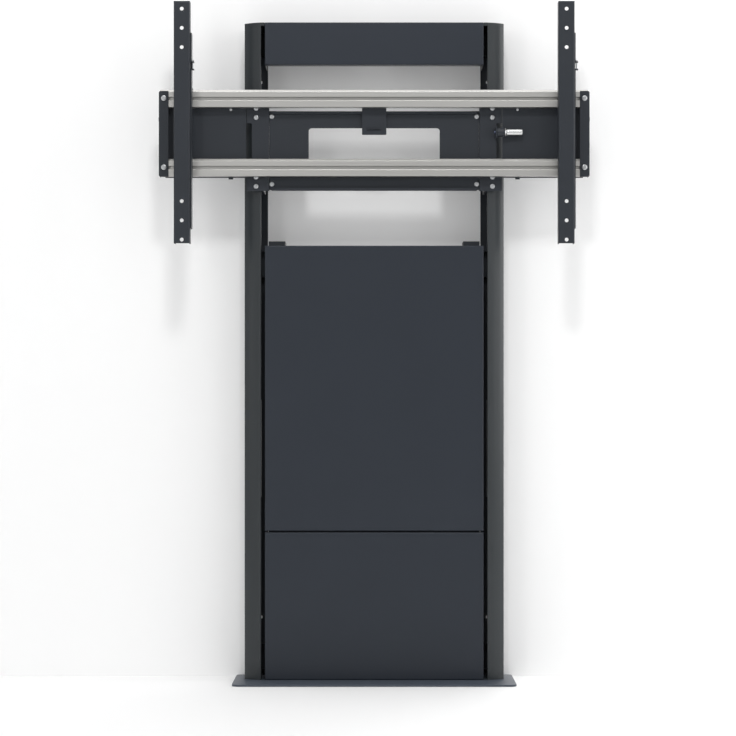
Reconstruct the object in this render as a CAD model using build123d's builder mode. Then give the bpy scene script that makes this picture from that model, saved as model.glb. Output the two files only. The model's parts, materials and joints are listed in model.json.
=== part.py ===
from build123d import *
from math import hypot, sqrt
import os

# Motor-driven display stand that stands on the floor against a wall: two hollow columns on
# a base plate, a header, a service door and a lower panel between them, and a lift carriage
# in front that carries two slotted rails and two upright display strips.
# Millimetres. X runs to the right seen from the front, the front faces -Y, Z is up.
# The origin is at the floor, in the middle of the base plate. Depths are counted forward
# from the wall plane, which is the rear edge of the base plate.

os.makedirs("parts", exist_ok=True)

# Base plate
BASE_SIDE_OUT = 27.0
BASE_FRONT_OUT = 110.0
BASE_THICK = 5.0
BASE_FRONT_R = 18.0
BASE_BACK_R = 14.0

# Columns: an outer extruded cover with a bowed front over a folded steel upright
BODY_DEPTH = 140.0
BODY_TOP = 1740.0
COLUMN_OUT = 343.0
COLUMN_WIDTH = 44.5
COLUMN_SETBACK = 3.0
COLUMN_FALL = 23.0
COLUMN_FRONT_R = 105.0
COLUMN_EDGE_R = 3.0
COLUMN_INNER_R = 2.0
COLUMN_WALL = 2.5
COLUMN_FRONT_LIP = 15.0
CAP_THICK = 9.0
CAP_EDGE_R = 0.8
CAP_GAP = 0.5
GROOVE = 10.0
PORT_R = 4.0
PORT_BORE_R = 1.7
PORT_SINK = 0.8
PORT_INSET = 18.0
CAP_SOCKET_SINK = 0.8

UPRIGHT_SHEET = 3.0
UPRIGHT_SETBACK = 25.0
UPRIGHT_SIDE_GAP = 3.5
REAR_FLANGE = 51.0
FRONT_FLANGE = 25.0
FOOT_THICK = 5.0
FOOT_HOLE_BACK = 24.5
FOOT_HOLE_INSET = 16.5
WALL_HOLE_INSET = 19.0
WALL_HOLE_LOW = 160.0
WALL_HOLE_BELOW_TOP = 140.0
WALL_HOLE_R = 4.5

# Fasteners
HEX_HEAD_R = 8.0
HEX_HEAD_T = 6.4
HEX_SHANK_R = 5.0
HEX_SHANK = 9.0
PAN_HEAD_R = 6.5
PAN_HEAD_T = 3.5
PAN_SHANK_R = 3.0
SMALL_HEAD_R = 3.5
SMALL_HEAD_T = 1.6
SMALL_SHANK_R = 1.5
SMALL_SHANK = 6.0
FLANGE_HEAD_R = 7.0
FLANGE_HEAD_T = 1.6
BOLT_HEAD_R = 5.2
BOLT_HEAD_T = 4.0
SOCKET_R = 2.0
SOCKET_SINK = 1.8

# Clearances
HOLE_SLACK = 0.4
REST_GAP = 0.3
RUN_CLEAR = 0.3
RUN_FIT = 0.05

# Header, service door and lower panel
SHEET = 1.5
HEADER_HEIGHT = 112.0
HEADER_LIP = 30.0
HEADER_BACK = 0.5
NOTCH_WIDTH = 84.0
NOTCH_DEPTH = 45.0
DOOR_TOP = 1151.0
DOOR_HEIGHT = 752.4
DOOR_FLANGE = 18.5
DOOR_LIP = 12.0
COVER_EDGE_R = 1.2
PANEL_GAP = 3.9
PANEL_LOW_GAP = 0.5

# Crossmembers and inner posts
CROSS_HEIGHT = 70.0
CROSS_DEPTH = 20.0
CROSS_SHEET = 2.0
BOTTOM_CROSS_LOW = 20.0
MIDDLE_CROSS_BELOW_DOOR = 76.0
CROSS_SCREW_INSET = 18.0
CROSS_SCREW_PITCH = 40.0
POST_INSET = 8.5
POST_WIDTH = 44.0
POST_SETBACK = 40.0
POST_SHEET = 2.0
POST_ABOVE_DOOR = 14.0

# Door hinges, magnets and panel clips
PIVOT_INSET = 9.5
PIVOT_SETBACK = 8.5
KNUCKLE_R = 5.0
PIN_R = 3.0
PIN_FIT = 0.05
PIN_HEAD_R = 4.4
PIN_HEAD_T = 1.5
LEAF_SHEET = 2.0
LEAF_HEIGHT = 60.0
LEAF_WIDTH = 30.0
KNUCKLE_GAP = 0.3
HINGE_INSET = 110.0
HINGE_NOTCH_SLACK = 3.0
HINGE_NOTCH_WIDTH = 20.0
MAGNET_SIDE_INSET = 20.0
MAGNET_WIDTH = 20.0
MAGNET_HEIGHT = 40.0
MAGNET_DEPTH = 22.0
MAGNET_INSET = 90.0
CLIP_WIDTH = 16.0
CLIP_HEIGHT = 30.0
CLIP_LOW = 60.0
CLIP_PITCH = 270.0
CLIP_SHEET = 2.0

# Electrical parts on their mounting plate
PLATE_LOW = 500.0
PLATE_HEIGHT = 380.0
PLATE_DEPTH = 30.0
PLATE_SHEET = 1.5
PLATE_TAB = 20.0
BOX_EDGE_R = 4.0
CONTROL_X = -110.0
CONTROL_WIDTH = 180.0
CONTROL_HEIGHT = 130.0
CONTROL_DEPTH = 42.0
CONTROL_LOW = 620.0
SUPPLY_X = 110.0
SUPPLY_WIDTH = 150.0
SUPPLY_HEIGHT = 180.0
SUPPLY_DEPTH = 50.0
SUPPLY_LOW = 600.0
FIN_PITCH = 12.0
FIN_WIDTH = 5.0
FIN_SINK = 6.0
FIN_COUNT = 11
INLET_WIDTH = 48.0
INLET_DEPTH = 24.0
INLET_HEIGHT = 14.0
INLET_RIM = 4.0
INLET_RECESS = 10.0

# Linear guides
GUIDE_SETBACK = 25.0
GUIDE_RAIL_W = 15.0
GUIDE_RAIL_H = 15.0
GUIDE_NECK = 2.0
GUIDE_NECK_H = 4.0
GUIDE_BELOW_TOP = 90.0
GUIDE_LENGTH = 900.0
GUIDE_HOLE_PITCH = 60.0
GUIDE_HOLE_R = 2.3
GUIDE_SINK_R = 3.8
GUIDE_SINK = 4.5
BLOCK_LENGTH = 61.0
BLOCK_WIDTH = 34.0
BLOCK_FOOT = 4.0
BLOCK_TOP = 9.0
BLOCK_PITCH = 120.0

# Spindle drives
SPINDLE_OFF = 17.0
SPINDLE_SETBACK = 45.0
SPINDLE_R = 8.0
JOURNAL_R = 5.0
JOURNAL_LENGTH = 45.0
SPINDLE_OVER = 15.3
BEARING_HEIGHT = 25.0
BEARING_WIDTH = 32.0
BEARING_OVER = 3.0
MOTOR_R = 16.0
MOTOR_LENGTH = 260.0
MOTOR_GAP = 5.0
MOTOR_FOOT_W = 20.0
MOTOR_FOOT_H = 20.0
MOTOR_FOOT_INSET = 20.0
NUT_R = 12.0
NUT_FLANGE_R = 15.0
NUT_FLANGE_T = 6.0
NUT_LENGTH = 30.0
SWITCH_SETBACK = 23.0
SWITCH_WIDTH = 10.0
SWITCH_THICK = 14.0
SWITCH_HEIGHT = 26.0

# Lift carriage, with heights counted from the middle of the two rails
FRAME_BELOW_TOP = 296.5
CARRIAGE_GAP = 10.0
ARM_SHEET = 5.0
ARM_BACK = 30.0
ARM_TOP_UNDER_RAIL = 12.0
ARM_LOW_UNDER_RAIL = 59.0
ARM_EDGE = 25.0
ARM_CUT_WIDTH = 13.0
FOOT_TAB_OUT = 31.5
FOOT_TAB_T = 3.0
UPPER_TAB = 46.0
LOWER_TAB = 46.0
PAD_MARGIN = 4.0
NUT_SHELF_T = 12.0
NUT_SHELF_BELOW = 44.0
BRACKET_SHEET = 3.0
BRACKET_INSET = 12.0
BRACKET_WIDTH = 45.5
BRACKET_OVER_RAIL = 19.0
BRACKET_FOLD_R = 2.5
LUG_WIDTH = 14.0
UPPER_LUG_UNDER_RAIL = 62.0
LOWER_LUG_UNDER_RAIL = 8.0
BRACKET_TAB_WIDTH = 18.5
BRACKET_TAB_H = 30.0
SEAT_INSET = 8.5
SEAT_WIDTH = 32.0
SEAT_HEIGHT = 32.0
LUG_SCREW_INSET = 11.0
LUG_SCREW_OFF = 22.8
LUG_SCREW_PITCH = 24.2

# Pan between the brackets
PAN_TOP_UNDER_RAIL = 30.5
PAN_LOW_UNDER_RAIL = 58.5
PAN_SHEET = 2.0
PAN_SINK = 4.0
PAN_CORNER = 7.0
PAN_HEM = 7.0
PAN_HEM_OUT = 8.5
PAN_SIDE = 103.7
PAN_TOP_BAND = 44.0
PAN_LOW_BAND = 50.5
PAN_OPEN_R = 8.0
PAN_SCREW_INSET = 6.5
PAN_SCREW_FROM_TOP = 13.5
PAN_SCREW_FROM_LOW = 17.5

# Slotted rails
RAIL_OVER_STRIP = 60.7
RAIL_HEIGHT = 46.0
RAIL_PITCH = 181.0
RAIL_STAND = 7.0
RAIL_DEPTH = 25.0
RAIL_BEVEL = 4.5
RAIL_WALL = 2.5
RAIL_SLOT_MOUTH = 7.4
RAIL_SLOT_ROOM = 15.0
RAIL_SLOT_DEPTH = 8.0
RAIL_SLOT_LIP = 2.2
RAIL_SLOT_BEVEL = 2.6
HOOK_SLOT_BACK = 4.3
HOOK_SLOT_W = 6.0
HOOK_SLOT_SINK = 6.0

# Wing plates and end plates
WING_GAP = 1.0
WING_SHORT = 15.0
WING_SHEET = 3.0
WING_OVER_RAIL = 19.0
WING_UNDER_RAIL = 25.0
WING_SCREW_INSET = 40.0
WING_SCREW_UNDER_RAIL = 26.8
WING_TAB_W = 12.0
WING_TAB_H = 4.0
END_WIDTH = 25.2
END_SHEET = 3.0
END_CORNER_R = 5.0
END_SCREW_INSET = 13.0
END_SIDE_HEAD_R = 7.0
END_SIDE_SCREW_Z = 36.5
END_SIDE_SCREW_BACK = 11.0

# Centre bracket on the upper rail
CENTRE_HALF = 32.0
CENTRE_BOTTOM = -2.5
CENTRE_OVER_RAIL = 16.0
CENTRE_SHEET = 2.4
CENTRE_LIP_HALF = 19.0
CENTRE_LIP_ABOVE = 13.5
CENTRE_LIP_OUT = 6.0
CENTRE_LIP_T = 1.6

# Locking plunger on the right bracket
PLUNGER_Z = 2.5
PLUNGER_OUT = 14.5
PLUNGER_TAB_H = 28.0
PLUNGER_TAB_T = 3.0
PLUNGER_TAB_OVER = 3.0
HOUSING_R = 12.0
HOUSING_LENGTH = 20.0
PLUNGER_FIT = 0.1
STEM_R = 5.0
STEM_LENGTH = 28.5
KNOB_OUT = 20.5
KNOB_R = 8.75
KNOB_LENGTH = 46.5
KNOB_FLARE_R = 12.8
KNOB_FLARE_LENGTH = 5.0
KNOB_EDGE_R = 1.5

# Display strips and their hook carriers
STRIP_X = 500.0
STRIP_HALF = 21.0
STRIP_STAND = 18.0
STRIP_DEPTH = 36.0
STRIP_SHEET = 3.0
STRIP_OVER_HOLES = 20.5
STRIP_UNDER_HOLES = 9.5
STRIP_ABOVE = 16.6
STRIP_HOLE_R = 5.0
STRIP_HOLE_ROWS = (300.0, 250.0, 200.0)
STRIP_MARK_R = 2.0
STRIP_MARK_SINK = 1.2
STRIP_MARK_FROM_TOP = 10.0
STRIP_EDGE_R = 3.4
CARRIER_GAP = 0.3
CARRIER_SHEET = 3.0
CARRIER_STAND = 4.0
CARRIER_DEPTH = 40.0
CARRIER_TOP = 256.5
CARRIER_BOTTOM = -253.5
CARRIER_BRIDGE_HALF = 18.0
CARRIER_BRIDGE_GAP = 1.0
CARRIER_CORNER_R = 6.0
HOOK_PLATE_T = 4.0
HOOK_LIP_T = 4.0
HOOK_LIP_SINK = 5.0
HOOK_BRIDGE_H = 26.0
FOOT_BRIDGE_H = 40.0
FOOT_PLATE_OUT = 13.0
NOTCH_LOW = 162.5
NOTCH_HEIGHT = 16.0
LEVEL_TAB_T = 3.0
LEVEL_TAB_OUT = 10.0
LEVEL_TAB_SETBACK = 8.0
LEVEL_TAB_DEPTH = 14.0
LEVEL_SCREW_OFF = 6.5
LEVEL_SCREW_R = 2.5
LEVEL_NUT_T = 6.0
LEVEL_HEAD_R = 3.0
LEVEL_HEAD_T = 4.0

# Sizes worked out from those above
BASE_WIDTH = 2 * (COLUMN_OUT + BASE_SIDE_OUT)
BASE_DEPTH = BODY_DEPTH + BASE_FRONT_OUT
COLUMN_IN = COLUMN_OUT - COLUMN_WIDTH
COVER_HALF = COLUMN_IN - GROOVE
COLUMN_FRONT = BODY_DEPTH - COLUMN_SETBACK
COLUMN_SIDE_FRONT = COLUMN_FRONT - COLUMN_FALL
COLUMN_TOP = BODY_TOP - CAP_THICK
CAP_IN = COVER_HALF + CAP_GAP
BOW_CHORD = hypot(COLUMN_WIDTH, COLUMN_FALL)
BOW_BACK = sqrt(COLUMN_FRONT_R**2 - (BOW_CHORD / 2) ** 2)
BOW_X = (COLUMN_IN + COLUMN_OUT) / 2 - BOW_BACK * COLUMN_FALL / BOW_CHORD
BOW_DEPTH = (COLUMN_FRONT + COLUMN_SIDE_FRONT) / 2 - BOW_BACK * COLUMN_WIDTH / BOW_CHORD
UPRIGHT_DEPTH = BODY_DEPTH - UPRIGHT_SETBACK
WEB_OUT = COLUMN_OUT - COLUMN_WALL - UPRIGHT_SIDE_GAP
WEB_IN = WEB_OUT - UPRIGHT_SHEET
FLANGE_IN = WEB_OUT - REAR_FLANGE
WALL_HOLE_X = FLANGE_IN + WALL_HOLE_INSET
WALL_HOLE_HIGH = BODY_TOP - WALL_HOLE_BELOW_TOP
CROSS_HALF = WEB_IN - REST_GAP
CROSS_BACK = UPRIGHT_SHEET
CROSS_FRONT = CROSS_BACK + CROSS_DEPTH
CROSS_SCREW_X = WEB_IN - CROSS_SCREW_INSET
MIDDLE_CROSS_LOW = DOOR_TOP - MIDDLE_CROSS_BELOW_DOOR
TOP_CROSS_LOW = BODY_TOP - SHEET - CROSS_HEIGHT
HEADER_LOW = BODY_TOP - HEADER_HEIGHT
DOOR_LOW = DOOR_TOP - DOOR_HEIGHT
PANEL_TOP = DOOR_LOW - PANEL_GAP
PANEL_LOW = BASE_THICK + PANEL_LOW_GAP
FLANGE_BACK = BODY_DEPTH - SHEET - DOOR_FLANGE
POST_OUT = COVER_HALF - POST_INSET
POST_IN = POST_OUT - POST_WIDTH
POST_FRONT = BODY_DEPTH - POST_SETBACK
POST_TOP = DOOR_TOP + POST_ABOVE_DOOR
PLATE_FRONT = PLATE_DEPTH + PLATE_SHEET
PIVOT_X = PIVOT_INSET - COVER_HALF
PIVOT_DEPTH = BODY_DEPTH - PIVOT_SETBACK
MAGNET_X = POST_OUT - MAGNET_SIDE_INSET
HINGE_HEIGHTS = (DOOR_LOW + HINGE_INSET, DOOR_TOP - HINGE_INSET)
MAGNET_HEIGHTS = (DOOR_LOW + MAGNET_INSET, DOOR_TOP - MAGNET_INSET)
CLIP_HEIGHTS = (CLIP_LOW, CLIP_LOW + CLIP_PITCH)

# Drives and guides
SPINDLE_X = WEB_IN - SPINDLE_OFF
BEARING_IN = SPINDLE_X - SPINDLE_R - BEARING_OVER
GUIDE_DEPTH = UPRIGHT_DEPTH - GUIDE_SETBACK
SPINDLE_DEPTH = GUIDE_DEPTH - SPINDLE_SETBACK
BLOCK_OUT = WEB_IN - BLOCK_FOOT
BLOCK_IN = WEB_IN - GUIDE_RAIL_H - BLOCK_TOP
BLOCK_BACK = GUIDE_DEPTH - BLOCK_WIDTH / 2
BLOCK_FRONT = GUIDE_DEPTH + BLOCK_WIDTH / 2
GUIDE_TOP = BODY_TOP - GUIDE_BELOW_TOP
GUIDE_LOW = GUIDE_TOP - GUIDE_LENGTH
LOWER_BEARING_LOW = GUIDE_LOW
UPPER_BEARING_LOW = GUIDE_TOP - BEARING_HEIGHT
SWITCH_DEPTH = GUIDE_DEPTH - SWITCH_SETBACK
SWITCH_LOWS = (GUIDE_LOW, GUIDE_TOP - SWITCH_HEIGHT)
MOTOR_TOP = LOWER_BEARING_LOW - MOTOR_GAP
MOTOR_LOW = MOTOR_TOP - MOTOR_LENGTH
SPINDLE_LOW = MOTOR_TOP + RUN_CLEAR
SPINDLE_LENGTH = GUIDE_TOP + SPINDLE_OVER - SPINDLE_LOW

# Lift carriage
FRAME_Z = BODY_TOP - FRAME_BELOW_TOP
RAIL_OFF = RAIL_PITCH / 2
ARM_OUT = COLUMN_IN - (GROOVE - ARM_SHEET) / 2 - RUN_CLEAR
ARM_IN = ARM_OUT - ARM_SHEET
ARM_FRONT = BODY_DEPTH + CARRIAGE_GAP
ARM_LOW = FRAME_Z - RAIL_OFF - ARM_LOW_UNDER_RAIL
ARM_TOP = FRAME_Z + RAIL_OFF - ARM_TOP_UNDER_RAIL
FOOT_TAB_X = ARM_IN + FOOT_TAB_OUT
FOOT_TAB_BACK = ARM_FRONT - FOOT_TAB_T
BRACKET_FRONT = ARM_FRONT + BRACKET_SHEET
BRACKET_IN = COVER_HALF - BRACKET_INSET
BRACKET_OUT = BRACKET_IN + BRACKET_WIDTH
BRACKET_TOP = FRAME_Z + RAIL_OFF + BRACKET_OVER_RAIL
BRACKET_TAB_IN = BRACKET_IN - BRACKET_TAB_WIDTH
LUG_OUT = BRACKET_OUT + LUG_WIDTH
LUG_SCREW_X = BRACKET_OUT - LUG_SCREW_INSET
SEAT_X = BRACKET_IN + SEAT_INSET
PAN_HALF = BRACKET_IN - REST_GAP
PAN_BACK = ARM_FRONT - PAN_SINK
PAN_FRONT = PAN_BACK + PAN_SHEET
PAN_TOP = FRAME_Z + RAIL_OFF - PAN_TOP_UNDER_RAIL
PAN_LOW = FRAME_Z - RAIL_OFF - PAN_LOW_UNDER_RAIL
PAN_OPEN_HALF = PAN_HALF - PAN_SIDE
PAN_SCREW_X = PAN_HALF - PAN_SCREW_INSET
PAN_SCREW_HEIGHTS = (PAN_TOP - PAN_SCREW_FROM_TOP, PAN_LOW + PAN_SCREW_FROM_LOW)
BRACKET_BACK = PAN_BACK - BRACKET_SHEET

# Rails, wings and end plates
RAIL_HALF = STRIP_X + RAIL_OVER_STRIP
RAIL_BACK = ARM_FRONT + RAIL_STAND
RAIL_FRONT = RAIL_BACK + RAIL_DEPTH
UPPER_RAIL_LOW = FRAME_Z + RAIL_OFF - RAIL_HEIGHT / 2
LOWER_RAIL_LOW = FRAME_Z - RAIL_OFF - RAIL_HEIGHT / 2
RAIL_LOWS = (UPPER_RAIL_LOW, LOWER_RAIL_LOW)
END_OUT = RAIL_HALF + REST_GAP + END_SHEET
END_IN = END_OUT - END_WIDTH
END_SCREW_X = END_OUT - END_SCREW_INSET
WING_IN = LUG_OUT + WING_GAP
WING_OUT = END_OUT - WING_SHORT
WING_TOP = FRAME_Z + RAIL_OFF + WING_OVER_RAIL
WING_LOW = FRAME_Z - RAIL_OFF - WING_UNDER_RAIL
WING_SCREW_X = WING_IN + WING_SCREW_INSET
WING_SCREW_Z = FRAME_Z + RAIL_OFF - WING_SCREW_UNDER_RAIL
PLUNGER_DEPTH = RAIL_BACK + PLUNGER_OUT
KNOB_START = BRACKET_OUT + KNOB_OUT

# Display strips and carriers
STRIP_FLANGE_BACK = RAIL_FRONT + STRIP_STAND
STRIP_FRONT = STRIP_FLANGE_BACK + STRIP_DEPTH
STRIP_Z = FRAME_Z + STRIP_ABOVE
STRIP_LOW = STRIP_Z - max(STRIP_HOLE_ROWS) - STRIP_UNDER_HOLES
STRIP_TOP = STRIP_Z + max(STRIP_HOLE_ROWS) + STRIP_OVER_HOLES
CARRIER_BACK = RAIL_FRONT + CARRIER_STAND
CARRIER_FRONT = CARRIER_BACK + CARRIER_DEPTH
CARRIER_BRIDGE_FRONT = STRIP_FLANGE_BACK - CARRIER_BRIDGE_GAP
LEVEL_TAB_BACK = STRIP_FLANGE_BACK + LEVEL_TAB_SETBACK
SIDES = {"left": -1, "right": 1}


def wall_y(depth):
    """Y of a point that lies this far in front of the wall plane."""
    return BASE_DEPTH / 2 - depth


def front_plane(depth):
    """Upright plane seen from the front: local X is X, local Y is Z, it faces the front."""
    return Plane(origin=(0, wall_y(depth), 0), x_dir=(1, 0, 0), z_dir=(0, -1, 0))


def side_plane(x):
    """Upright plane seen from the side: local X is the depth, local Y is Z, it faces -X."""
    return Plane(origin=(x, wall_y(0), 0), x_dir=(0, -1, 0), z_dir=(-1, 0, 0))


def block(x, depth, z, mode=Mode.ADD):
    """Block between two X values, two depths from the wall and two heights."""
    x_low, x_high = sorted(x)
    with BuildSketch(Plane.XY.offset(z[0])) as plan:
        with Locations(((x_low + x_high) / 2, wall_y(sum(depth) / 2))):
            Rectangle(x_high - x_low, depth[1] - depth[0])
    extrude(plan.sketch, amount=z[1] - z[0], mode=mode)


def discs(plane, points, radius, amount, mode=Mode.ADD):
    """Round bars of one radius that start on a plane at the given points."""
    with BuildSketch(plane) as rounds:
        with Locations(*points):
            Circle(radius)
    extrude(rounds.sketch, amount=amount, mode=mode)


def holes(plane, points, radius, reach):
    """Round holes through whatever lies within this reach on both sides of a plane."""
    with BuildSketch(plane) as rounds:
        with Locations(*points):
            Circle(radius)
    extrude(rounds.sketch, amount=reach, both=True, mode=Mode.SUBTRACT)


def socket_screws(plane, points, head_r, head_t, shank_r, shank):
    """Button-head screws: heads stand on the plane, shanks go back, with a hexagon socket."""
    discs(plane, points, head_r, head_t)
    discs(plane, points, shank_r, -shank)
    with BuildSketch(plane.offset(head_t)) as sockets:
        with Locations(*points):
            RegularPolygon(SOCKET_R, 6)
    extrude(sockets.sketch, amount=-SOCKET_SINK, mode=Mode.SUBTRACT)


def save(solid, name):
    """Label a finished piece and write it under its own name."""
    solid.label = name
    export_step(solid, f"parts/{name}.step")


def foot_points():
    """Base plate screws: two under each upright and one under each inner post."""
    upright_x = (WEB_IN + COLUMN_IN) / 2
    back = wall_y(FOOT_HOLE_BACK)
    front = wall_y(UPRIGHT_DEPTH - FOOT_HOLE_INSET)
    post = wall_y((CROSS_FRONT + POST_FRONT) / 2)
    upright = [(side * upright_x, y) for side in SIDES.values() for y in (back, front)]
    posts = [(side * (POST_OUT + POST_IN) / 2, post) for side in SIDES.values()]
    return upright, posts


# Base plate with its screw holes
def make_base_plate():
    upright, posts = foot_points()
    with BuildPart() as plate:
        with BuildSketch():
            Rectangle(BASE_WIDTH, BASE_DEPTH)
        extrude(amount=BASE_THICK)
        fillet(plate.edges().filter_by(Axis.Z).group_by(Axis.Y)[0], radius=BASE_FRONT_R)
        fillet(plate.edges().filter_by(Axis.Z).group_by(Axis.Y)[-1], radius=BASE_BACK_R)
        holes(Plane.XY, upright + posts, HEX_SHANK_R + HOLE_SLACK, BASE_THICK)
    return plate.part


def bow_point(side, x, inset=0.0):
    """Plan point at this distance from the middle, on a column's bowed front or a line behind it."""
    rise = sqrt((COLUMN_FRONT_R - inset) ** 2 - (x - BOW_X) ** 2)
    return (side * x, wall_y(BOW_DEPTH + rise))


def port_points(side):
    """Screw ports of a column: one in its inner front corner, one behind its bowed front."""
    inset = COLUMN_WALL + PORT_R - PORT_SINK
    return [bow_point(side, x, inset) for x in (COLUMN_IN + inset, COLUMN_OUT - PORT_INSET)]


def column_plan(side, back, inset=0.0, mode=Mode.ADD):
    """Plan of a column with its bowed front, or of the hollow this far inside it."""
    inner = COLUMN_IN + inset
    outer = COLUMN_OUT - inset
    ends = [bow_point(side, x, inset) for x in (inner, outer)]
    crown = bow_point(side, (inner + outer) / 2, inset)
    rear = [(side * x, wall_y(back + inset)) for x in (outer, inner)]
    with BuildLine() as outline:
        ThreePointArc(ends[0], crown, ends[1])
        Polyline(ends[1], *rear, ends[0])
    make_face(outline.edges(), mode=mode)


def round_column_edges(section):
    """Round the outer and the inner front edge of a column's plan."""
    fillet(section.vertices().sort_by(Axis.Y)[1], COLUMN_EDGE_R)
    fillet(section.vertices().sort_by(Axis.Y)[0], COLUMN_INNER_R)


# Column cover: an extrusion open towards the inside, with two screw ports
def make_column_cover(side):
    opening_depth = BODY_DEPTH - COLUMN_FRONT_LIP - UPRIGHT_SHEET
    with BuildPart() as cover:
        with BuildSketch(Plane.XY.offset(BASE_THICK)) as section:
            column_plan(side, UPRIGHT_SHEET)
            round_column_edges(section)
            column_plan(side, UPRIGHT_SHEET, COLUMN_WALL, Mode.SUBTRACT)
            with Locations(*port_points(side)):
                Circle(PORT_R)
            with Locations(*port_points(side)):
                Circle(PORT_BORE_R, mode=Mode.SUBTRACT)
            with Locations((side * COLUMN_IN, wall_y(UPRIGHT_SHEET + opening_depth / 2))):
                Rectangle(2 * COLUMN_WALL, opening_depth, mode=Mode.SUBTRACT)
            rear_opening = WEB_OUT + REST_GAP - COLUMN_IN
            with Locations((side * (COLUMN_IN + rear_opening / 2), wall_y(UPRIGHT_SHEET))):
                Rectangle(rear_opening, 2 * COLUMN_WALL, mode=Mode.SUBTRACT)
        extrude(amount=COLUMN_TOP - BASE_THICK)
    return cover.part


# Column cap: a solid lid over the column and over the groove beside it
def make_column_cap(side):
    with BuildPart() as cap:
        with BuildSketch(Plane.XY.offset(COLUMN_TOP)) as outline:
            column_plan(side, 0)
            fillet(outline.vertices().sort_by(Axis.Y)[1], COLUMN_EDGE_R)
            with Locations((side * (CAP_IN + COLUMN_IN) / 2, wall_y(COLUMN_FRONT / 2))):
                Rectangle(COLUMN_IN - CAP_IN, COLUMN_FRONT)
        extrude(amount=CAP_THICK)
        fillet(cap.faces().sort_by(Axis.Z)[-1].edges(), radius=CAP_EDGE_R)
        top = Plane.XY.offset(BODY_TOP)
        holes(top, port_points(side), PAN_SHANK_R, CAP_THICK)
    return cap.part


# Cap screws, sunk until their heads are level with the caps
def make_cap_screws():
    points = [point for side in SIDES.values() for point in port_points(side)]
    with BuildPart() as screws:
        discs(Plane.XY.offset(BODY_TOP), points, PAN_SHANK_R, -SMALL_HEAD_T)
        discs(Plane.XY.offset(BODY_TOP - SMALL_HEAD_T), points, PORT_BORE_R, -CAP_THICK)
        with BuildSketch(Plane.XY.offset(BODY_TOP)) as sockets:
            with Locations(*points):
                RegularPolygon(SOCKET_R, 6)
        extrude(sockets.sketch, amount=-CAP_SOCKET_SINK, mode=Mode.SUBTRACT)
    return screws.part


# Steel upright: a folded channel with a welded foot and wall fixing holes
def make_upright(side):
    with BuildPart() as upright:
        height = (BASE_THICK, COLUMN_TOP)
        block((side * WEB_IN, side * WEB_OUT), (0, UPRIGHT_DEPTH), height)
        block((side * FLANGE_IN, side * WEB_OUT), (0, UPRIGHT_SHEET), height)
        front_in = WEB_OUT - FRONT_FLANGE
        front_back = UPRIGHT_DEPTH - UPRIGHT_SHEET
        block((side * front_in, side * WEB_OUT), (front_back, UPRIGHT_DEPTH), height)
        foot_height = (BASE_THICK, BASE_THICK + FOOT_THICK)
        block((side * COLUMN_IN, side * WEB_OUT), (0, UPRIGHT_DEPTH), foot_height)
        foot = [point for point in foot_points()[0] if point[0] * side > 0]
        holes(Plane.XY.offset(BASE_THICK), foot, HEX_SHANK_R + HOLE_SLACK, FOOT_THICK)
        wall = [(side * WALL_HOLE_X, z) for z in (WALL_HOLE_LOW, WALL_HOLE_HIGH)]
        holes(front_plane(0), wall, WALL_HOLE_R, UPRIGHT_SHEET)
        cross = [point for point in cross_points() if point[0] * side > 0]
        holes(front_plane(0), cross, PAN_SHANK_R + HOLE_SLACK, UPRIGHT_SHEET)
    return upright.part


def cross_points():
    """Screws that hold the three crossmembers to the uprights' rear flanges."""
    lows = (BOTTOM_CROSS_LOW, MIDDLE_CROSS_LOW, TOP_CROSS_LOW)
    half = CROSS_SCREW_PITCH / 2
    middles = [low + CROSS_HEIGHT / 2 for low in lows]
    heights = [middle + shift for middle in middles for shift in (-half, half)]
    return [(side * CROSS_SCREW_X, z) for side in SIDES.values() for z in heights]


# Base screws: hexagon heads on the feet of the uprights and posts
def make_base_screws():
    upright, posts = foot_points()
    seats = ((upright, BASE_THICK + FOOT_THICK), (posts, BASE_THICK + POST_SHEET))
    with BuildPart() as screws:
        for points, seat in seats:
            with BuildSketch(Plane.XY.offset(seat)) as heads:
                with Locations(*points):
                    RegularPolygon(HEX_HEAD_R, 6)
            extrude(heads.sketch, amount=HEX_HEAD_T)
            shank = min(HEX_SHANK, seat - REST_GAP)
            discs(Plane.XY.offset(seat), points, HEX_SHANK_R, -shank)
    return screws.part


# Crossmember: a shallow channel between the uprights, open to the front
def make_crossmember(low, notched=False):
    with BuildPart() as member:
        block((-CROSS_HALF, CROSS_HALF), (CROSS_BACK, CROSS_FRONT), (low, low + CROSS_HEIGHT))
        inside = (low + CROSS_SHEET, low + CROSS_HEIGHT - CROSS_SHEET)
        hollow = (CROSS_BACK + CROSS_SHEET, CROSS_FRONT)
        block((-CROSS_HALF, CROSS_HALF), hollow, inside, Mode.SUBTRACT)
        if notched:
            notch = (-NOTCH_WIDTH / 2, NOTCH_WIDTH / 2)
            block(notch, hollow, (low, low + CROSS_HEIGHT), Mode.SUBTRACT)
            under_cap = (COLUMN_TOP - REST_GAP, low + CROSS_HEIGHT)
            for side in SIDES.values():
                end_x = (side * (CAP_IN - REST_GAP), side * CROSS_HALF)
                block(end_x, (CROSS_BACK, CROSS_FRONT), under_cap, Mode.SUBTRACT)
        points = [point for point in cross_points() if low < point[1] < low + CROSS_HEIGHT]
        holes(front_plane(CROSS_BACK), points, PAN_SHANK_R + HOLE_SLACK, CROSS_SHEET)
    return member.part


# Screws of the crossmembers, seated inside their channels
def make_structure_screws():
    seat = front_plane(CROSS_BACK + CROSS_SHEET)
    shank = CROSS_SHEET + UPRIGHT_SHEET - REST_GAP
    with BuildPart() as screws:
        socket_screws(seat, cross_points(), PAN_HEAD_R, PAN_HEAD_T, PAN_SHANK_R, shank)
    return screws.part


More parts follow.
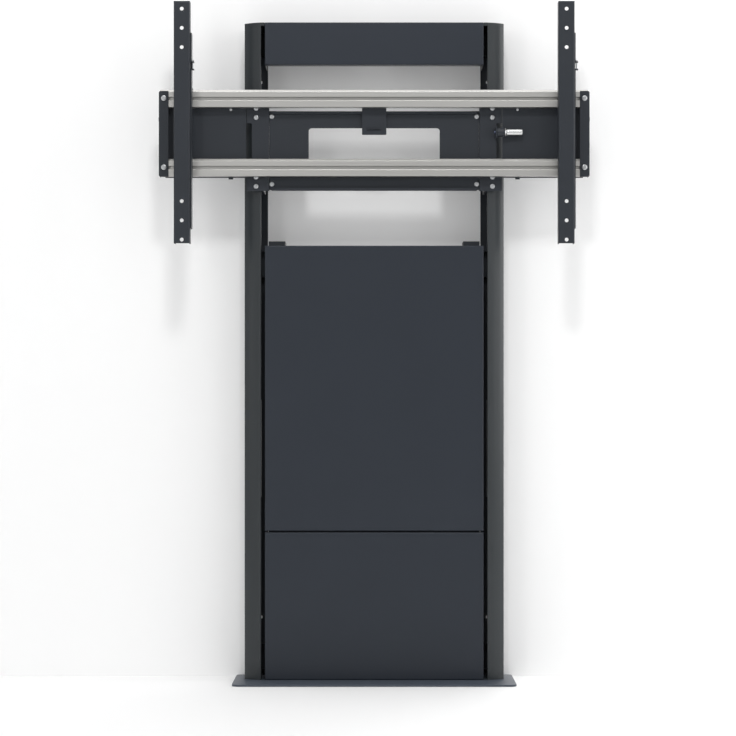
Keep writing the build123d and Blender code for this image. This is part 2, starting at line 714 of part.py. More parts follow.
# Inner post: a folded channel, open to the rear, that carries hinges, catches and clips
def make_inner_post(side):
    outer = (side * POST_IN, side * POST_OUT)
    inner = (side * (POST_IN + POST_SHEET), side * (POST_OUT - POST_SHEET))
    hollow = (CROSS_FRONT, POST_FRONT - POST_SHEET)
    with BuildPart() as post:
        block(outer, (CROSS_FRONT, POST_FRONT), (BASE_THICK, POST_TOP))
        block(inner, hollow, (BASE_THICK + POST_SHEET, POST_TOP), Mode.SUBTRACT)
        points = [point for point in foot_points()[1] if point[0] * side > 0]
        foot = Plane.XY.offset(BASE_THICK)
        holes(foot, points, HEX_SHANK_R + HOLE_SLACK, POST_SHEET)
    return post.part


# Header cover: front, roof, sides and a lip under the front, with a cable notch in the roof
def make_header_cover():
    with BuildPart() as header:
        block((-COVER_HALF, COVER_HALF), (HEADER_BACK, BODY_DEPTH), (HEADER_LOW, BODY_TOP))
        front_edges = header.faces().sort_by(Axis.Y)[0].edges()
        fillet(front_edges, radius=COVER_EDGE_R)
        inside_x = (-COVER_HALF + SHEET, COVER_HALF - SHEET)
        inside_z = (HEADER_LOW + SHEET, BODY_TOP - SHEET)
        block(inside_x, (HEADER_BACK, BODY_DEPTH - SHEET), inside_z, Mode.SUBTRACT)
        lip_back = (HEADER_BACK, BODY_DEPTH - HEADER_LIP)
        block(inside_x, lip_back, (HEADER_LOW, HEADER_LOW + SHEET), Mode.SUBTRACT)
        notch = (-NOTCH_WIDTH / 2, NOTCH_WIDTH / 2)
        block(notch, (HEADER_BACK, NOTCH_DEPTH), (BODY_TOP - SHEET, BODY_TOP), Mode.SUBTRACT)
        side_back = (HEADER_BACK, CROSS_FRONT + REST_GAP)
        side_z = (HEADER_LOW, BODY_TOP - SHEET)
        block((-COVER_HALF, COVER_HALF), side_back, side_z, Mode.SUBTRACT)
    return header.part


def tray(low, high):
    """Front cover: a sheet with folded edges and inner lips, open to the rear."""
    block((-COVER_HALF, COVER_HALF), (FLANGE_BACK, BODY_DEPTH), (low, high))


def empty_tray(low, high):
    """Hollow of a front cover behind its sheet and between its lips."""
    inside_x = (-COVER_HALF + SHEET, COVER_HALF - SHEET)
    hollow = (FLANGE_BACK + SHEET, BODY_DEPTH - SHEET)
    block(inside_x, hollow, (low + SHEET, high - SHEET), Mode.SUBTRACT)
    lip_x = (-COVER_HALF + SHEET + DOOR_LIP, COVER_HALF - SHEET - DOOR_LIP)
    lip_z = (low + SHEET + DOOR_LIP, high - SHEET - DOOR_LIP)
    block(lip_x, (FLANGE_BACK, BODY_DEPTH - SHEET), lip_z, Mode.SUBTRACT)


# Service door, cut away behind its sheet where the hinges sit
def make_service_door():
    with BuildPart() as door:
        tray(DOOR_LOW, DOOR_TOP)
        fillet(door.faces().sort_by(Axis.Y)[0].edges(), radius=COVER_EDGE_R)
        empty_tray(DOOR_LOW, DOOR_TOP)
        reach = LEAF_HEIGHT / 2 + HINGE_NOTCH_SLACK
        notch_x = (-COVER_HALF, -COVER_HALF + HINGE_NOTCH_WIDTH)
        notch_depth = (FLANGE_BACK, BODY_DEPTH - SHEET)
        for height in HINGE_HEIGHTS:
            block(notch_x, notch_depth, (height - reach, height + reach), Mode.SUBTRACT)
    return door.part


# Lower panel, clipped to the inner posts
def make_lower_panel():
    with BuildPart() as panel:
        tray(PANEL_LOW, PANEL_TOP)
        fillet(panel.faces().sort_by(Axis.Y)[0].edges(), radius=COVER_EDGE_R)
        empty_tray(PANEL_LOW, PANEL_TOP)
    return panel.part


# Folded clips between the inner posts and the lower panel's lips
def make_panel_clips():
    with BuildPart() as clips:
        for side in SIDES.values():
            inner = COVER_HALF - SHEET - CLIP_WIDTH
            for low in CLIP_HEIGHTS:
                outer_x = (side * inner, side * (inner + CLIP_WIDTH))
                block(outer_x, (POST_FRONT, FLANGE_BACK), (low, low + CLIP_HEIGHT))
                cut_x = (side * (inner + CLIP_SHEET), side * (inner + CLIP_WIDTH))
                cut_depth = (POST_FRONT + CLIP_SHEET, FLANGE_BACK - CLIP_SHEET)
                block(cut_x, cut_depth, (low, low + CLIP_HEIGHT), Mode.SUBTRACT)
    return clips.part


def knuckle(low, high):
    """One barrel of a hinge around the door's pivot line."""
    centre = [(PIVOT_X, wall_y(PIVOT_DEPTH))]
    discs(Plane.XY.offset(low), centre, KNUCKLE_R, high - low)


def bore_hinge():
    """Bore for the hinge pin along both hinges."""
    centre = [(PIVOT_X, wall_y(PIVOT_DEPTH))]
    discs(Plane.XY, centre, PIN_R + PIN_FIT, BODY_TOP, Mode.SUBTRACT)


# Hinge leaves on the left post, with an outer knuckle at each end
def make_hinge_frame_leaves():
    arm = (PIVOT_X + KNUCKLE_R - LEAF_SHEET, PIVOT_X + KNUCKLE_R)
    third = LEAF_HEIGHT / 3
    with BuildPart() as leaves:
        for height in HINGE_HEIGHTS:
            low = height - LEAF_HEIGHT / 2
            high = height + LEAF_HEIGHT / 2
            plate_x = (arm[0], arm[0] + LEAF_WIDTH)
            block(plate_x, (POST_FRONT, POST_FRONT + LEAF_SHEET), (low, high))
            block(arm, (POST_FRONT, PIVOT_DEPTH), (low, high))
            middle = (low + third - KNUCKLE_GAP, high - third + KNUCKLE_GAP)
            clear_x = (PIVOT_X, arm[1])
            clear_depth = (PIVOT_DEPTH - KNUCKLE_R - KNUCKLE_GAP, PIVOT_DEPTH)
            block(clear_x, clear_depth, middle, Mode.SUBTRACT)
            knuckle(low, low + third - KNUCKLE_GAP)
            knuckle(high - third + KNUCKLE_GAP, high)
        bore_hinge()
    return leaves.part


# Hinge leaves on the door, with one middle knuckle each
def make_hinge_door_leaves():
    third = LEAF_HEIGHT / 3
    front = PIVOT_DEPTH + KNUCKLE_R
    pad_start = PIVOT_X + KNUCKLE_R + LEAF_SHEET
    with BuildPart() as leaves:
        for height in HINGE_HEIGHTS:
            low = height - LEAF_HEIGHT / 2
            high = height + LEAF_HEIGHT / 2
            middle = (low + third + KNUCKLE_GAP, high - third - KNUCKLE_GAP)
            block((PIVOT_X, pad_start), (front - LEAF_SHEET, front), middle)
            pad_x = (pad_start, pad_start + LEAF_WIDTH)
            block(pad_x, (front - LEAF_SHEET, BODY_DEPTH - SHEET), (low, high))
            knuckle(*middle)
        bore_hinge()
    return leaves.part


# Hinge pins with a flat head on top
def make_hinge_pins():
    centre = [(PIVOT_X, wall_y(PIVOT_DEPTH))]
    with BuildPart() as pins:
        for height in HINGE_HEIGHTS:
            low = height - LEAF_HEIGHT / 2
            discs(Plane.XY.offset(low), centre, PIN_R, LEAF_HEIGHT)
            discs(Plane.XY.offset(low + LEAF_HEIGHT), centre, PIN_HEAD_R, PIN_HEAD_T)
    return pins.part


# Magnetic catches on the right post and their strikes on the door
def make_door_magnets():
    with BuildPart() as magnets:
        for height in MAGNET_HEIGHTS:
            x = (MAGNET_X - MAGNET_WIDTH / 2, MAGNET_X + MAGNET_WIDTH / 2)
            z = (height - MAGNET_HEIGHT / 2, height + MAGNET_HEIGHT / 2)
            block(x, (POST_FRONT, POST_FRONT + MAGNET_DEPTH), z)
        fillet(magnets.edges().filter_by(Axis.Y), radius=COVER_EDGE_R)
    return magnets.part


# Folded strikes that the magnets hold
def make_door_strikes():
    with BuildPart() as strikes:
        for height in MAGNET_HEIGHTS:
            x = (MAGNET_X - MAGNET_WIDTH / 2, MAGNET_X + MAGNET_WIDTH / 2)
            z = (height - MAGNET_HEIGHT / 2, height + MAGNET_HEIGHT / 2)
            face = POST_FRONT + MAGNET_DEPTH + REST_GAP
            block(x, (face, BODY_DEPTH - SHEET), z)
            cut = (face + CLIP_SHEET, BODY_DEPTH - SHEET - CLIP_SHEET)
            cut_x = (x[0] + CLIP_SHEET, x[1])
            block(cut_x, cut, z, Mode.SUBTRACT)
    return strikes.part


# Mounting plate between the posts
def make_equipment_plate():
    z = (PLATE_LOW, PLATE_LOW + PLATE_HEIGHT)
    with BuildPart() as plate:
        block((-POST_IN, POST_IN), (PLATE_DEPTH, PLATE_FRONT), z)
        for side in SIDES.values():
            tab_x = (side * (POST_IN - PLATE_SHEET), side * POST_IN)
            block(tab_x, (PLATE_DEPTH, PLATE_DEPTH + PLATE_TAB), z)
    return plate.part


# Motor control box with a rounded lid
def make_control_box():
    x = (CONTROL_X - CONTROL_WIDTH / 2, CONTROL_X + CONTROL_WIDTH / 2)
    z = (CONTROL_LOW, CONTROL_LOW + CONTROL_HEIGHT)
    with BuildPart() as box:
        block(x, (PLATE_FRONT, PLATE_FRONT + CONTROL_DEPTH), z)
        fillet(box.edges().filter_by(Axis.Y), radius=BOX_EDGE_R)
        fillet(box.faces().sort_by(Axis.Y)[0].edges(), radius=COVER_EDGE_R)
    return box.part


# Power supply with cooling grooves down its front and its appliance inlet below
def make_power_supply():
    x = (SUPPLY_X - SUPPLY_WIDTH / 2, SUPPLY_X + SUPPLY_WIDTH / 2)
    z = (SUPPLY_LOW, SUPPLY_LOW + SUPPLY_HEIGHT)
    front = PLATE_FRONT + SUPPLY_DEPTH
    with BuildPart() as supply:
        block(x, (PLATE_FRONT, front), z)
        fillet(supply.edges().filter_by(Axis.Y), radius=BOX_EDGE_R)
        with BuildSketch(front_plane(front)) as grooves:
            with Locations((SUPPLY_X, SUPPLY_LOW + SUPPLY_HEIGHT / 2)):
                with GridLocations(FIN_PITCH, 1, FIN_COUNT, 1):
                    Rectangle(FIN_WIDTH, SUPPLY_HEIGHT)
        extrude(grooves.sketch, amount=-FIN_SINK, mode=Mode.SUBTRACT)
        middle = PLATE_FRONT + SUPPLY_DEPTH / 2
        inlet_x = (SUPPLY_X - INLET_WIDTH / 2, SUPPLY_X + INLET_WIDTH / 2)
        inlet_depth = (middle - INLET_DEPTH / 2, middle + INLET_DEPTH / 2)
        low = SUPPLY_LOW - INLET_HEIGHT
        block(inlet_x, inlet_depth, (low, SUPPLY_LOW))
        recess_x = (inlet_x[0] + INLET_RIM, inlet_x[1] - INLET_RIM)
        recess_depth = (inlet_depth[0] + INLET_RIM, inlet_depth[1] - INLET_RIM)
        block(recess_x, recess_depth, (low, low + INLET_RECESS), Mode.SUBTRACT)
    return supply.part


# Linear guide rail with side necks and sunk screw holes
def make_guide_rail(side):
    face = WEB_IN - GUIDE_RAIL_H
    neck_in = face + GUIDE_NECK_H
    neck_out = WEB_IN - GUIDE_NECK_H
    z = (GUIDE_LOW, GUIDE_TOP)
    half = GUIDE_RAIL_W / 2
    count = int(GUIDE_LENGTH / GUIDE_HOLE_PITCH)
    first = (GUIDE_LENGTH - (count - 1) * GUIDE_HOLE_PITCH) / 2
    points = [(GUIDE_DEPTH, GUIDE_LOW + first + step * GUIDE_HOLE_PITCH) for step in range(count)]
    with BuildPart() as rail:
        block((side * face, side * WEB_IN), (GUIDE_DEPTH - half, GUIDE_DEPTH + half), z)
        neck_x = (side * neck_in, side * neck_out)
        block(neck_x, (GUIDE_DEPTH - half, GUIDE_DEPTH - half + GUIDE_NECK), z, Mode.SUBTRACT)
        block(neck_x, (GUIDE_DEPTH + half - GUIDE_NECK, GUIDE_DEPTH + half), z, Mode.SUBTRACT)
        holes(side_plane(side * face), points, GUIDE_HOLE_R, GUIDE_RAIL_H)
        holes(side_plane(side * face), points, GUIDE_SINK_R, GUIDE_SINK)
    return rail.part


def block_heights():
    """Middle heights of the two guide blocks on each side of the carriage."""
    middle = (ARM_LOW + ARM_TOP) / 2
    return (middle - BLOCK_PITCH / 2, middle + BLOCK_PITCH / 2)


# Guide blocks that grip the rails
def make_guide_blocks():
    half_slot = GUIDE_RAIL_W / 2 + RUN_CLEAR
    with BuildPart() as blocks:
        for side in SIDES.values():
            for height in block_heights():
                z = (height - BLOCK_LENGTH / 2, height + BLOCK_LENGTH / 2)
                block((side * BLOCK_IN, side * BLOCK_OUT), (BLOCK_BACK, BLOCK_FRONT), z)
                slot_x = (side * (WEB_IN - GUIDE_RAIL_H - RUN_CLEAR), side * BLOCK_OUT)
                slot_depth = (GUIDE_DEPTH - half_slot, GUIDE_DEPTH + half_slot)
                block(slot_x, slot_depth, z, Mode.SUBTRACT)
    return blocks.part


# Tubular gear motor with two feet on the upright's web and a hollow shaft at its top
def make_motor(side):
    centre = [(side * SPINDLE_X, wall_y(SPINDLE_DEPTH))]
    foot_depth = (SPINDLE_DEPTH - MOTOR_FOOT_W / 2, SPINDLE_DEPTH + MOTOR_FOOT_W / 2)
    lows = (MOTOR_LOW + MOTOR_FOOT_INSET, MOTOR_TOP - MOTOR_FOOT_INSET - MOTOR_FOOT_H)
    with BuildPart() as motor:
        discs(Plane.XY.offset(MOTOR_LOW), centre, MOTOR_R, MOTOR_LENGTH)
        for low in lows:
            foot_x = (side * SPINDLE_X, side * WEB_IN)
            block(foot_x, foot_depth, (low, low + MOTOR_FOOT_H))
        bore = Plane.XY.offset(MOTOR_TOP)
        discs(bore, centre, JOURNAL_R + RUN_FIT, -JOURNAL_LENGTH, Mode.SUBTRACT)
    return motor.part


# Spindle: a screw bar whose lower end sits in the motor's hollow shaft
def make_spindle(side):
    centre = [(side * SPINDLE_X, wall_y(SPINDLE_DEPTH))]
    journal = JOURNAL_LENGTH - MOTOR_GAP
    with BuildPart() as spindle:
        discs(Plane.XY.offset(SPINDLE_LOW), centre, SPINDLE_R, SPINDLE_LENGTH)
        discs(Plane.XY.offset(SPINDLE_LOW), centre, JOURNAL_R, -journal)
        chamfer(spindle.faces().sort_by(Axis.Z)[-1].edges(), length=COVER_EDGE_R)
    return spindle.part


# Bearing blocks at both ends of each spindle
def make_spindle_bearings():
    centres = [(side * SPINDLE_X, wall_y(SPINDLE_DEPTH)) for side in SIDES.values()]
    depth = (SPINDLE_DEPTH - BEARING_WIDTH / 2, SPINDLE_DEPTH + BEARING_WIDTH / 2)
    with BuildPart() as bearings:
        for low in (LOWER_BEARING_LOW, UPPER_BEARING_LOW):
            for side in SIDES.values():
                x = (side * BEARING_IN, side * WEB_IN)
                block(x, depth, (low, low + BEARING_HEIGHT))
        discs(Plane.XY, centres, SPINDLE_R + RUN_FIT, BODY_TOP, Mode.SUBTRACT)
    return bearings.part


# Spindle nuts with a flange that lies on the carriage's shelf
def make_spindle_nuts():
    centres = [(side * SPINDLE_X, wall_y(SPINDLE_DEPTH)) for side in SIDES.values()]
    top = FRAME_Z - NUT_SHELF_BELOW
    with BuildPart() as nuts:
        discs(Plane.XY.offset(top), centres, NUT_FLANGE_R, NUT_FLANGE_T)
        discs(Plane.XY.offset(top), centres, NUT_R, -NUT_LENGTH)
        discs(Plane.XY, centres, SPINDLE_R + RUN_FIT, BODY_TOP, Mode.SUBTRACT)
    return nuts.part


# End-of-travel switches on the left upright
def make_limit_switches():
    depth = (SWITCH_DEPTH - SWITCH_WIDTH / 2, SWITCH_DEPTH + SWITCH_WIDTH / 2)
    with BuildPart() as switches:
        for low in SWITCH_LOWS:
            x = (-WEB_IN, -WEB_IN + SWITCH_THICK)
            block(x, depth, (low, low + SWITCH_HEIGHT))
        fillet(switches.edges().filter_by(Axis.X), radius=COVER_EDGE_R)
    return switches.part


# Carriage side: a plate that comes out through the groove, with foot tabs, pads and a shelf
def make_carriage_side(side):
    arm_x = (side * ARM_IN, side * ARM_OUT)
    tab_x = (side * ARM_IN, side * FOOT_TAB_X)
    tab_depth = (FOOT_TAB_BACK, ARM_FRONT)
    shelf_top = FRAME_Z - NUT_SHELF_BELOW
    shelf = (shelf_top - NUT_SHELF_T, shelf_top)
    shelf_depth = (ARM_BACK, SPINDLE_DEPTH + NUT_FLANGE_R)
    cut_low = (ARM_LOW + ARM_EDGE, shelf[0] - ARM_EDGE)
    cut_depth = (ARM_FRONT - ARM_EDGE - ARM_CUT_WIDTH, ARM_FRONT - ARM_EDGE)
    cut_high = (shelf[1] + ARM_EDGE, ARM_TOP - ARM_EDGE)
    with BuildPart() as arm:
        block(arm_x, (ARM_BACK, ARM_FRONT), (ARM_LOW, ARM_TOP))
        for cut in (cut_low, cut_high):
            block(arm_x, cut_depth, cut, Mode.SUBTRACT)
        block(tab_x, tab_depth, (ARM_TOP - UPPER_TAB, ARM_TOP))
        block(tab_x, tab_depth, (ARM_LOW, ARM_LOW + LOWER_TAB))
        for height in block_heights():
            reach = BLOCK_LENGTH / 2 + PAD_MARGIN
            pad_x = (side * ARM_OUT, side * BLOCK_IN)
            block(pad_x, (BLOCK_BACK, BLOCK_FRONT), (height - reach, height + reach))
        shelf_x = (side * ARM_IN, side * (SPINDLE_X + NUT_FLANGE_R - HOLE_SLACK))
        block(shelf_x, shelf_depth, shelf)
        centre = [(side * SPINDLE_X, wall_y(SPINDLE_DEPTH))]
        holes(Plane.XY.offset(shelf_top), centre, NUT_R, NUT_SHELF_T)
        screws = [point for point in lug_points() if point[0] * side > 0]
        holes(front_plane(ARM_FRONT), screws, PAN_SHANK_R, FOOT_TAB_T)
    return arm.part


def lug_points():
    """Screws through the lugs of the brackets into the carriage sides."""
    rails = (FRAME_Z + RAIL_OFF, FRAME_Z - RAIL_OFF)
    drops = (LUG_SCREW_OFF, LUG_SCREW_OFF + LUG_SCREW_PITCH)
    heights = [rail - drop for rail in rails for drop in drops]
    return [(side * LUG_SCREW_X, z) for side in SIDES.values() for z in heights]


def pan_points():
    """Screws at the four corners of the pan."""
    return [(side * PAN_SCREW_X, z) for side in SIDES.values() for z in PAN_SCREW_HEIGHTS]


# Lift bracket: an upright bar with two lugs, a fold at its inner edge, tabs and rail seats
def make_lift_bracket(side):
    face = (ARM_FRONT, BRACKET_FRONT)
    fold_x = (side * BRACKET_IN, side * (BRACKET_IN + BRACKET_SHEET))
    seat_x = (side * SEAT_X, side * (SEAT_X + SEAT_WIDTH))
    seats = [low + RAIL_HEIGHT / 2 for low in RAIL_LOWS]
    upper_lug_low = FRAME_Z + RAIL_OFF - UPPER_LUG_UNDER_RAIL
    with BuildPart() as bracket:
        block((side * BRACKET_IN, side * BRACKET_OUT), face, (ARM_LOW, BRACKET_TOP))
        block((side * BRACKET_IN, side * LUG_OUT), face, (upper_lug_low, BRACKET_TOP))
        lower_lug = (ARM_LOW, FRAME_Z - RAIL_OFF - LOWER_LUG_UNDER_RAIL)
        block((side * BRACKET_IN, side * LUG_OUT), face, lower_lug)
        block(fold_x, (BRACKET_BACK, BRACKET_FRONT), (ARM_LOW, BRACKET_TOP))
        front_edges = bracket.edges().filter_by(Axis.Z).group_by(Axis.Y)[0]
        fillet(front_edges.sort_by(Axis.X)[0 if side > 0 else -1], radius=BRACKET_FOLD_R)
        for height in PAN_SCREW_HEIGHTS:
            z = (height - BRACKET_TAB_H / 2, height + BRACKET_TAB_H / 2)
            tab_x = (side * BRACKET_TAB_IN, side * (BRACKET_IN + BRACKET_SHEET))
            block(tab_x, (BRACKET_BACK, PAN_BACK), z)
        for middle in seats:
            z = (middle - SEAT_HEIGHT / 2, middle + SEAT_HEIGHT / 2)
            block(seat_x, (BRACKET_FRONT, RAIL_BACK), z)
        if side == SIDES["right"]:
            tab_z = (FRAME_Z + PLUNGER_Z - PLUNGER_TAB_H / 2, FRAME_Z + PLUNGER_Z + PLUNGER_TAB_H / 2)
            tab_x = (BRACKET_OUT - PLUNGER_TAB_T, BRACKET_OUT)
            block(tab_x, (ARM_FRONT, RAIL_FRONT + PLUNGER_TAB_OVER), tab_z)
            stem = [(PLUNGER_DEPTH, FRAME_Z + PLUNGER_Z)]
            holes(side_plane(BRACKET_OUT), stem, STEM_R + PLUNGER_FIT, PLUNGER_TAB_T)
        lugs = [point for point in lug_points() if point[0] * side > 0]
        holes(front_plane(BRACKET_FRONT), lugs, PAN_SHANK_R, BRACKET_SHEET)
        corners = [point for point in pan_points() if point[0] * side > 0]
        holes(front_plane(PAN_BACK), corners, PAN_SHANK_R, BRACKET_SHEET)
    return bracket.part


# Centre pan: a plate with a large opening and a raised hem along its top and bottom
def make_centre_pan():
    opening_low = PAN_LOW + PAN_LOW_BAND
    opening_high = PAN_TOP - PAN_TOP_BAND
    with BuildPart() as pan:
        with BuildSketch(front_plane(PAN_BACK)) as outline:
            with Locations((0, (PAN_TOP + PAN_LOW) / 2)):
                Rectangle(2 * PAN_HALF, PAN_TOP - PAN_LOW)
            chamfer(outline.vertices(), length=PAN_CORNER)
            with Locations((0, (opening_low + opening_high) / 2)):
                opening_height = opening_high - opening_low
                RectangleRounded(2 * PAN_OPEN_HALF, opening_height, PAN_OPEN_R, mode=Mode.SUBTRACT)
        extrude(amount=PAN_SHEET)
        hem_x = (-PAN_HALF + PAN_CORNER, PAN_HALF - PAN_CORNER)
        for start in (PAN_TOP - PAN_HEM, PAN_LOW):
            block(hem_x, (PAN_BACK, PAN_BACK + PAN_HEM_OUT), (start, start + PAN_HEM))
        holes(front_plane(PAN_FRONT), pan_points(), PAN_SHANK_R, PAN_SHEET)
    return pan.part


def rail_slot(depth, low, direction):
    """Slot of a rail: a narrow mouth on a face and a wider room behind it."""
    middle = low + RAIL_HEIGHT / 2
    mouth = (middle - RAIL_SLOT_MOUTH / 2, middle + RAIL_SLOT_MOUTH / 2)
    room = (middle - RAIL_SLOT_ROOM / 2, middle + RAIL_SLOT_ROOM / 2)
    lip = depth + direction * RAIL_SLOT_LIP
    end = depth + direction * RAIL_SLOT_DEPTH
    span = (-RAIL_HALF, RAIL_HALF)
    block(span, sorted((depth, lip)), mouth, Mode.SUBTRACT)
    block(span, sorted((lip, end)), room, Mode.SUBTRACT)


# Slotted rail: an extrusion with a bevelled top, slots front and back and a hook slot on top
def make_rail(low):
    high = low + RAIL_HEIGHT
    middle = low + RAIL_HEIGHT / 2
    slot_low = middle - RAIL_SLOT_MOUTH / 2
    span = (-RAIL_HALF, RAIL_HALF)
    room_half = RAIL_SLOT_ROOM / 2 + RAIL_WALL
    chamber_depth = (RAIL_BACK + RAIL_WALL, RAIL_FRONT - RAIL_WALL)
    with BuildPart() as rail:
        with BuildSketch(side_plane(RAIL_HALF)) as section:
            with BuildLine():
                Polyline(
                    (RAIL_BACK, low),
                    (RAIL_FRONT, low),
                    (RAIL_FRONT, slot_low - RAIL_SLOT_BEVEL),
                    (RAIL_FRONT - RAIL_SLOT_LIP, slot_low),
                    (RAIL_FRONT - RAIL_SLOT_LIP, middle + RAIL_SLOT_MOUTH / 2),
                    (RAIL_FRONT, middle + RAIL_SLOT_MOUTH / 2),
                    (RAIL_FRONT, high - RAIL_BEVEL),
                    (RAIL_FRONT - RAIL_BEVEL, high),
                    (RAIL_BACK, high),
                    close=True,
                )
            make_face()
        extrude(amount=2 * RAIL_HALF)
        rail_slot(RAIL_FRONT - RAIL_SLOT_LIP, low, -1)
        rail_slot(RAIL_BACK, low, 1)
        hook_back = RAIL_BACK + HOOK_SLOT_BACK
        hook_depth = (hook_back, hook_back + HOOK_SLOT_W)
        block(span, hook_depth, (high - HOOK_SLOT_SINK, high), Mode.SUBTRACT)
        chamber = (low + RAIL_WALL, middle - room_half)
        block(span, chamber_depth, chamber, Mode.SUBTRACT)
    return rail.part


# Wing plate behind the rails, with a small tab under its lower edge
def make_wing_plate(side):
    depth = (RAIL_BACK - WING_SHEET, RAIL_BACK)
    with BuildPart() as wing:
        block((side * WING_IN, side * WING_OUT), depth, (WING_LOW, WING_TOP))
        tab_x = (side * (WING_SCREW_X - WING_TAB_W / 2), side * (WING_SCREW_X + WING_TAB_W / 2))
        block(tab_x, depth, (WING_LOW - WING_TAB_H, WING_LOW))
        screw = [(side * WING_SCREW_X, WING_SCREW_Z)]
        holes(front_plane(RAIL_BACK), screw, SMALL_SHANK_R, WING_SHEET)
    return wing.part


def end_points():
    """Screws through the end plates into the front slots of the rails."""
    heights = (FRAME_Z + RAIL_OFF, FRAME_Z - RAIL_OFF)
    return [(side * END_SCREW_X, z) for side in SIDES.values() for z in heights]


# End plate over the rail ends: a front strip with a side fold
def make_end_plate(side):
    z = (WING_LOW, WING_TOP)
    with BuildPart() as plate:
        block((side * END_IN, side * END_OUT), (RAIL_BACK - END_SHEET, RAIL_FRONT + END_SHEET), z)
        outer = plate.edges().filter_by(Axis.Y).group_by(Axis.X)[-1 if side > 0 else 0]
        fillet(outer, radius=END_CORNER_R)
        hollow_x = (side * END_IN, side * (END_OUT - END_SHEET))
        block(hollow_x, (RAIL_BACK - END_SHEET, RAIL_FRONT), z, Mode.SUBTRACT)
        screws = [point for point in end_points() if point[0] * side > 0]
        holes(front_plane(RAIL_FRONT + END_SHEET), screws, PAN_SHANK_R, END_SHEET)
    return plate.part


# Bracket that hangs from the back of the upper rail, with a short folded lip
def make_centre_bracket():
    depth = (RAIL_BACK - CENTRE_SHEET, RAIL_BACK)
    lip_z = FRAME_Z + CENTRE_LIP_ABOVE
    z = (FRAME_Z + CENTRE_BOTTOM, FRAME_Z + RAIL_OFF + CENTRE_OVER_RAIL)
    with BuildPart() as bracket:
        block((-CENTRE_HALF, CENTRE_HALF), depth, z)
        fillet(bracket.edges().filter_by(Axis.Y), radius=CENTRE_SHEET)
        lip_x = (-CENTRE_LIP_HALF, CENTRE_LIP_HALF)
        lip_depth = (RAIL_BACK, RAIL_BACK + CENTRE_LIP_OUT)
        block(lip_x, lip_depth, (lip_z - CENTRE_LIP_T, lip_z))
    return bracket.part


# Screws of the carriage frame: eight through the lugs and four at the pan's corners
def make_frame_screws():
    lug_shank = BRACKET_SHEET + FOOT_TAB_T - REST_GAP
    pan_shank = PAN_SHEET + BRACKET_SHEET - REST_GAP
    lug_seat = front_plane(BRACKET_FRONT)
    pan_seat = front_plane(PAN_FRONT)
    with BuildPart() as screws:
        socket_screws(lug_seat, lug_points(), PAN_HEAD_R, PAN_HEAD_T, PAN_SHANK_R, lug_shank)
        socket_screws(pan_seat, pan_points(), PAN_HEAD_R, PAN_HEAD_T, PAN_SHANK_R, pan_shank)
    return screws.part


# Flanged screws in the end plates, and a low cap screw in each side fold
def make_end_screws():
    seat = front_plane(RAIL_FRONT + END_SHEET)
    with BuildPart() as screws:
        discs(seat, end_points(), FLANGE_HEAD_R, FLANGE_HEAD_T)
        cap = seat.offset(FLANGE_HEAD_T)
        reach = FLANGE_HEAD_T + END_SHEET + RAIL_SLOT_LIP
        socket_screws(cap, end_points(), BOLT_HEAD_R, BOLT_HEAD_T, PAN_SHANK_R, reach)
        for side in SIDES.values():
            point = [(RAIL_BACK + END_SIDE_SCREW_BACK, FRAME_Z + END_SIDE_SCREW_Z)]
            seat_side = side_plane(side * END_OUT)
            discs(seat_side, point, END_SIDE_HEAD_R, -side * SMALL_HEAD_T)
    return screws.part


# Small screws in the wing plates
def make_wing_screws():
    points = [(side * WING_SCREW_X, WING_SCREW_Z) for side in SIDES.values()]
    with BuildPart() as screws:
        discs(front_plane(RAIL_BACK), points, SMALL_HEAD_R, SMALL_HEAD_T)
        discs(front_plane(RAIL_BACK), points, SMALL_SHANK_R, -SMALL_SHANK)
    return screws.part


# Plunger housing screwed to the tab of the right bracket
def make_plunger_housing():
    centre = [(PLUNGER_DEPTH, FRAME_Z + PLUNGER_Z)]
    with BuildPart() as housing:
        discs(side_plane(BRACKET_OUT), centre, HOUSING_R, -HOUSING_LENGTH)
        fillet(housing.faces().sort_by(Axis.X)[-1].edges(), radius=COVER_EDGE_R)
        bore = side_plane(BRACKET_OUT)
        discs(bore, centre, STEM_R + PLUNGER_FIT, -HOUSING_LENGTH, Mode.SUBTRACT)
    return housing.part


# Locking plunger: a stem and a flared pull knob turned from one bar
def make_locking_plunger():
    flare_end = KNOB_START + KNOB_FLARE_LENGTH
    knob_end = KNOB_START + KNOB_LENGTH
    height = FRAME_Z + PLUNGER_Z
    axis_start = (PLUNGER_DEPTH, height)
    with BuildPart() as plunger:
        discs(side_plane(KNOB_START), [axis_start], STEM_R, STEM_LENGTH)
        with BuildSketch(Plane(origin=(0, wall_y(PLUNGER_DEPTH), height))) as half_section:
            with BuildLine():
                Polyline(
                    (KNOB_START, 0),
                    (KNOB_START, KNOB_FLARE_R),
                    (flare_end, KNOB_R),
                    (knob_end - KNOB_EDGE_R, KNOB_R),
                    (knob_end, KNOB_R - KNOB_EDGE_R),
                    (knob_end, 0),
                    close=True,
                )
            make_face()
        revolve(axis=Axis((0, wall_y(PLUNGER_DEPTH), height), (1, 0, 0)))
    return plunger.part


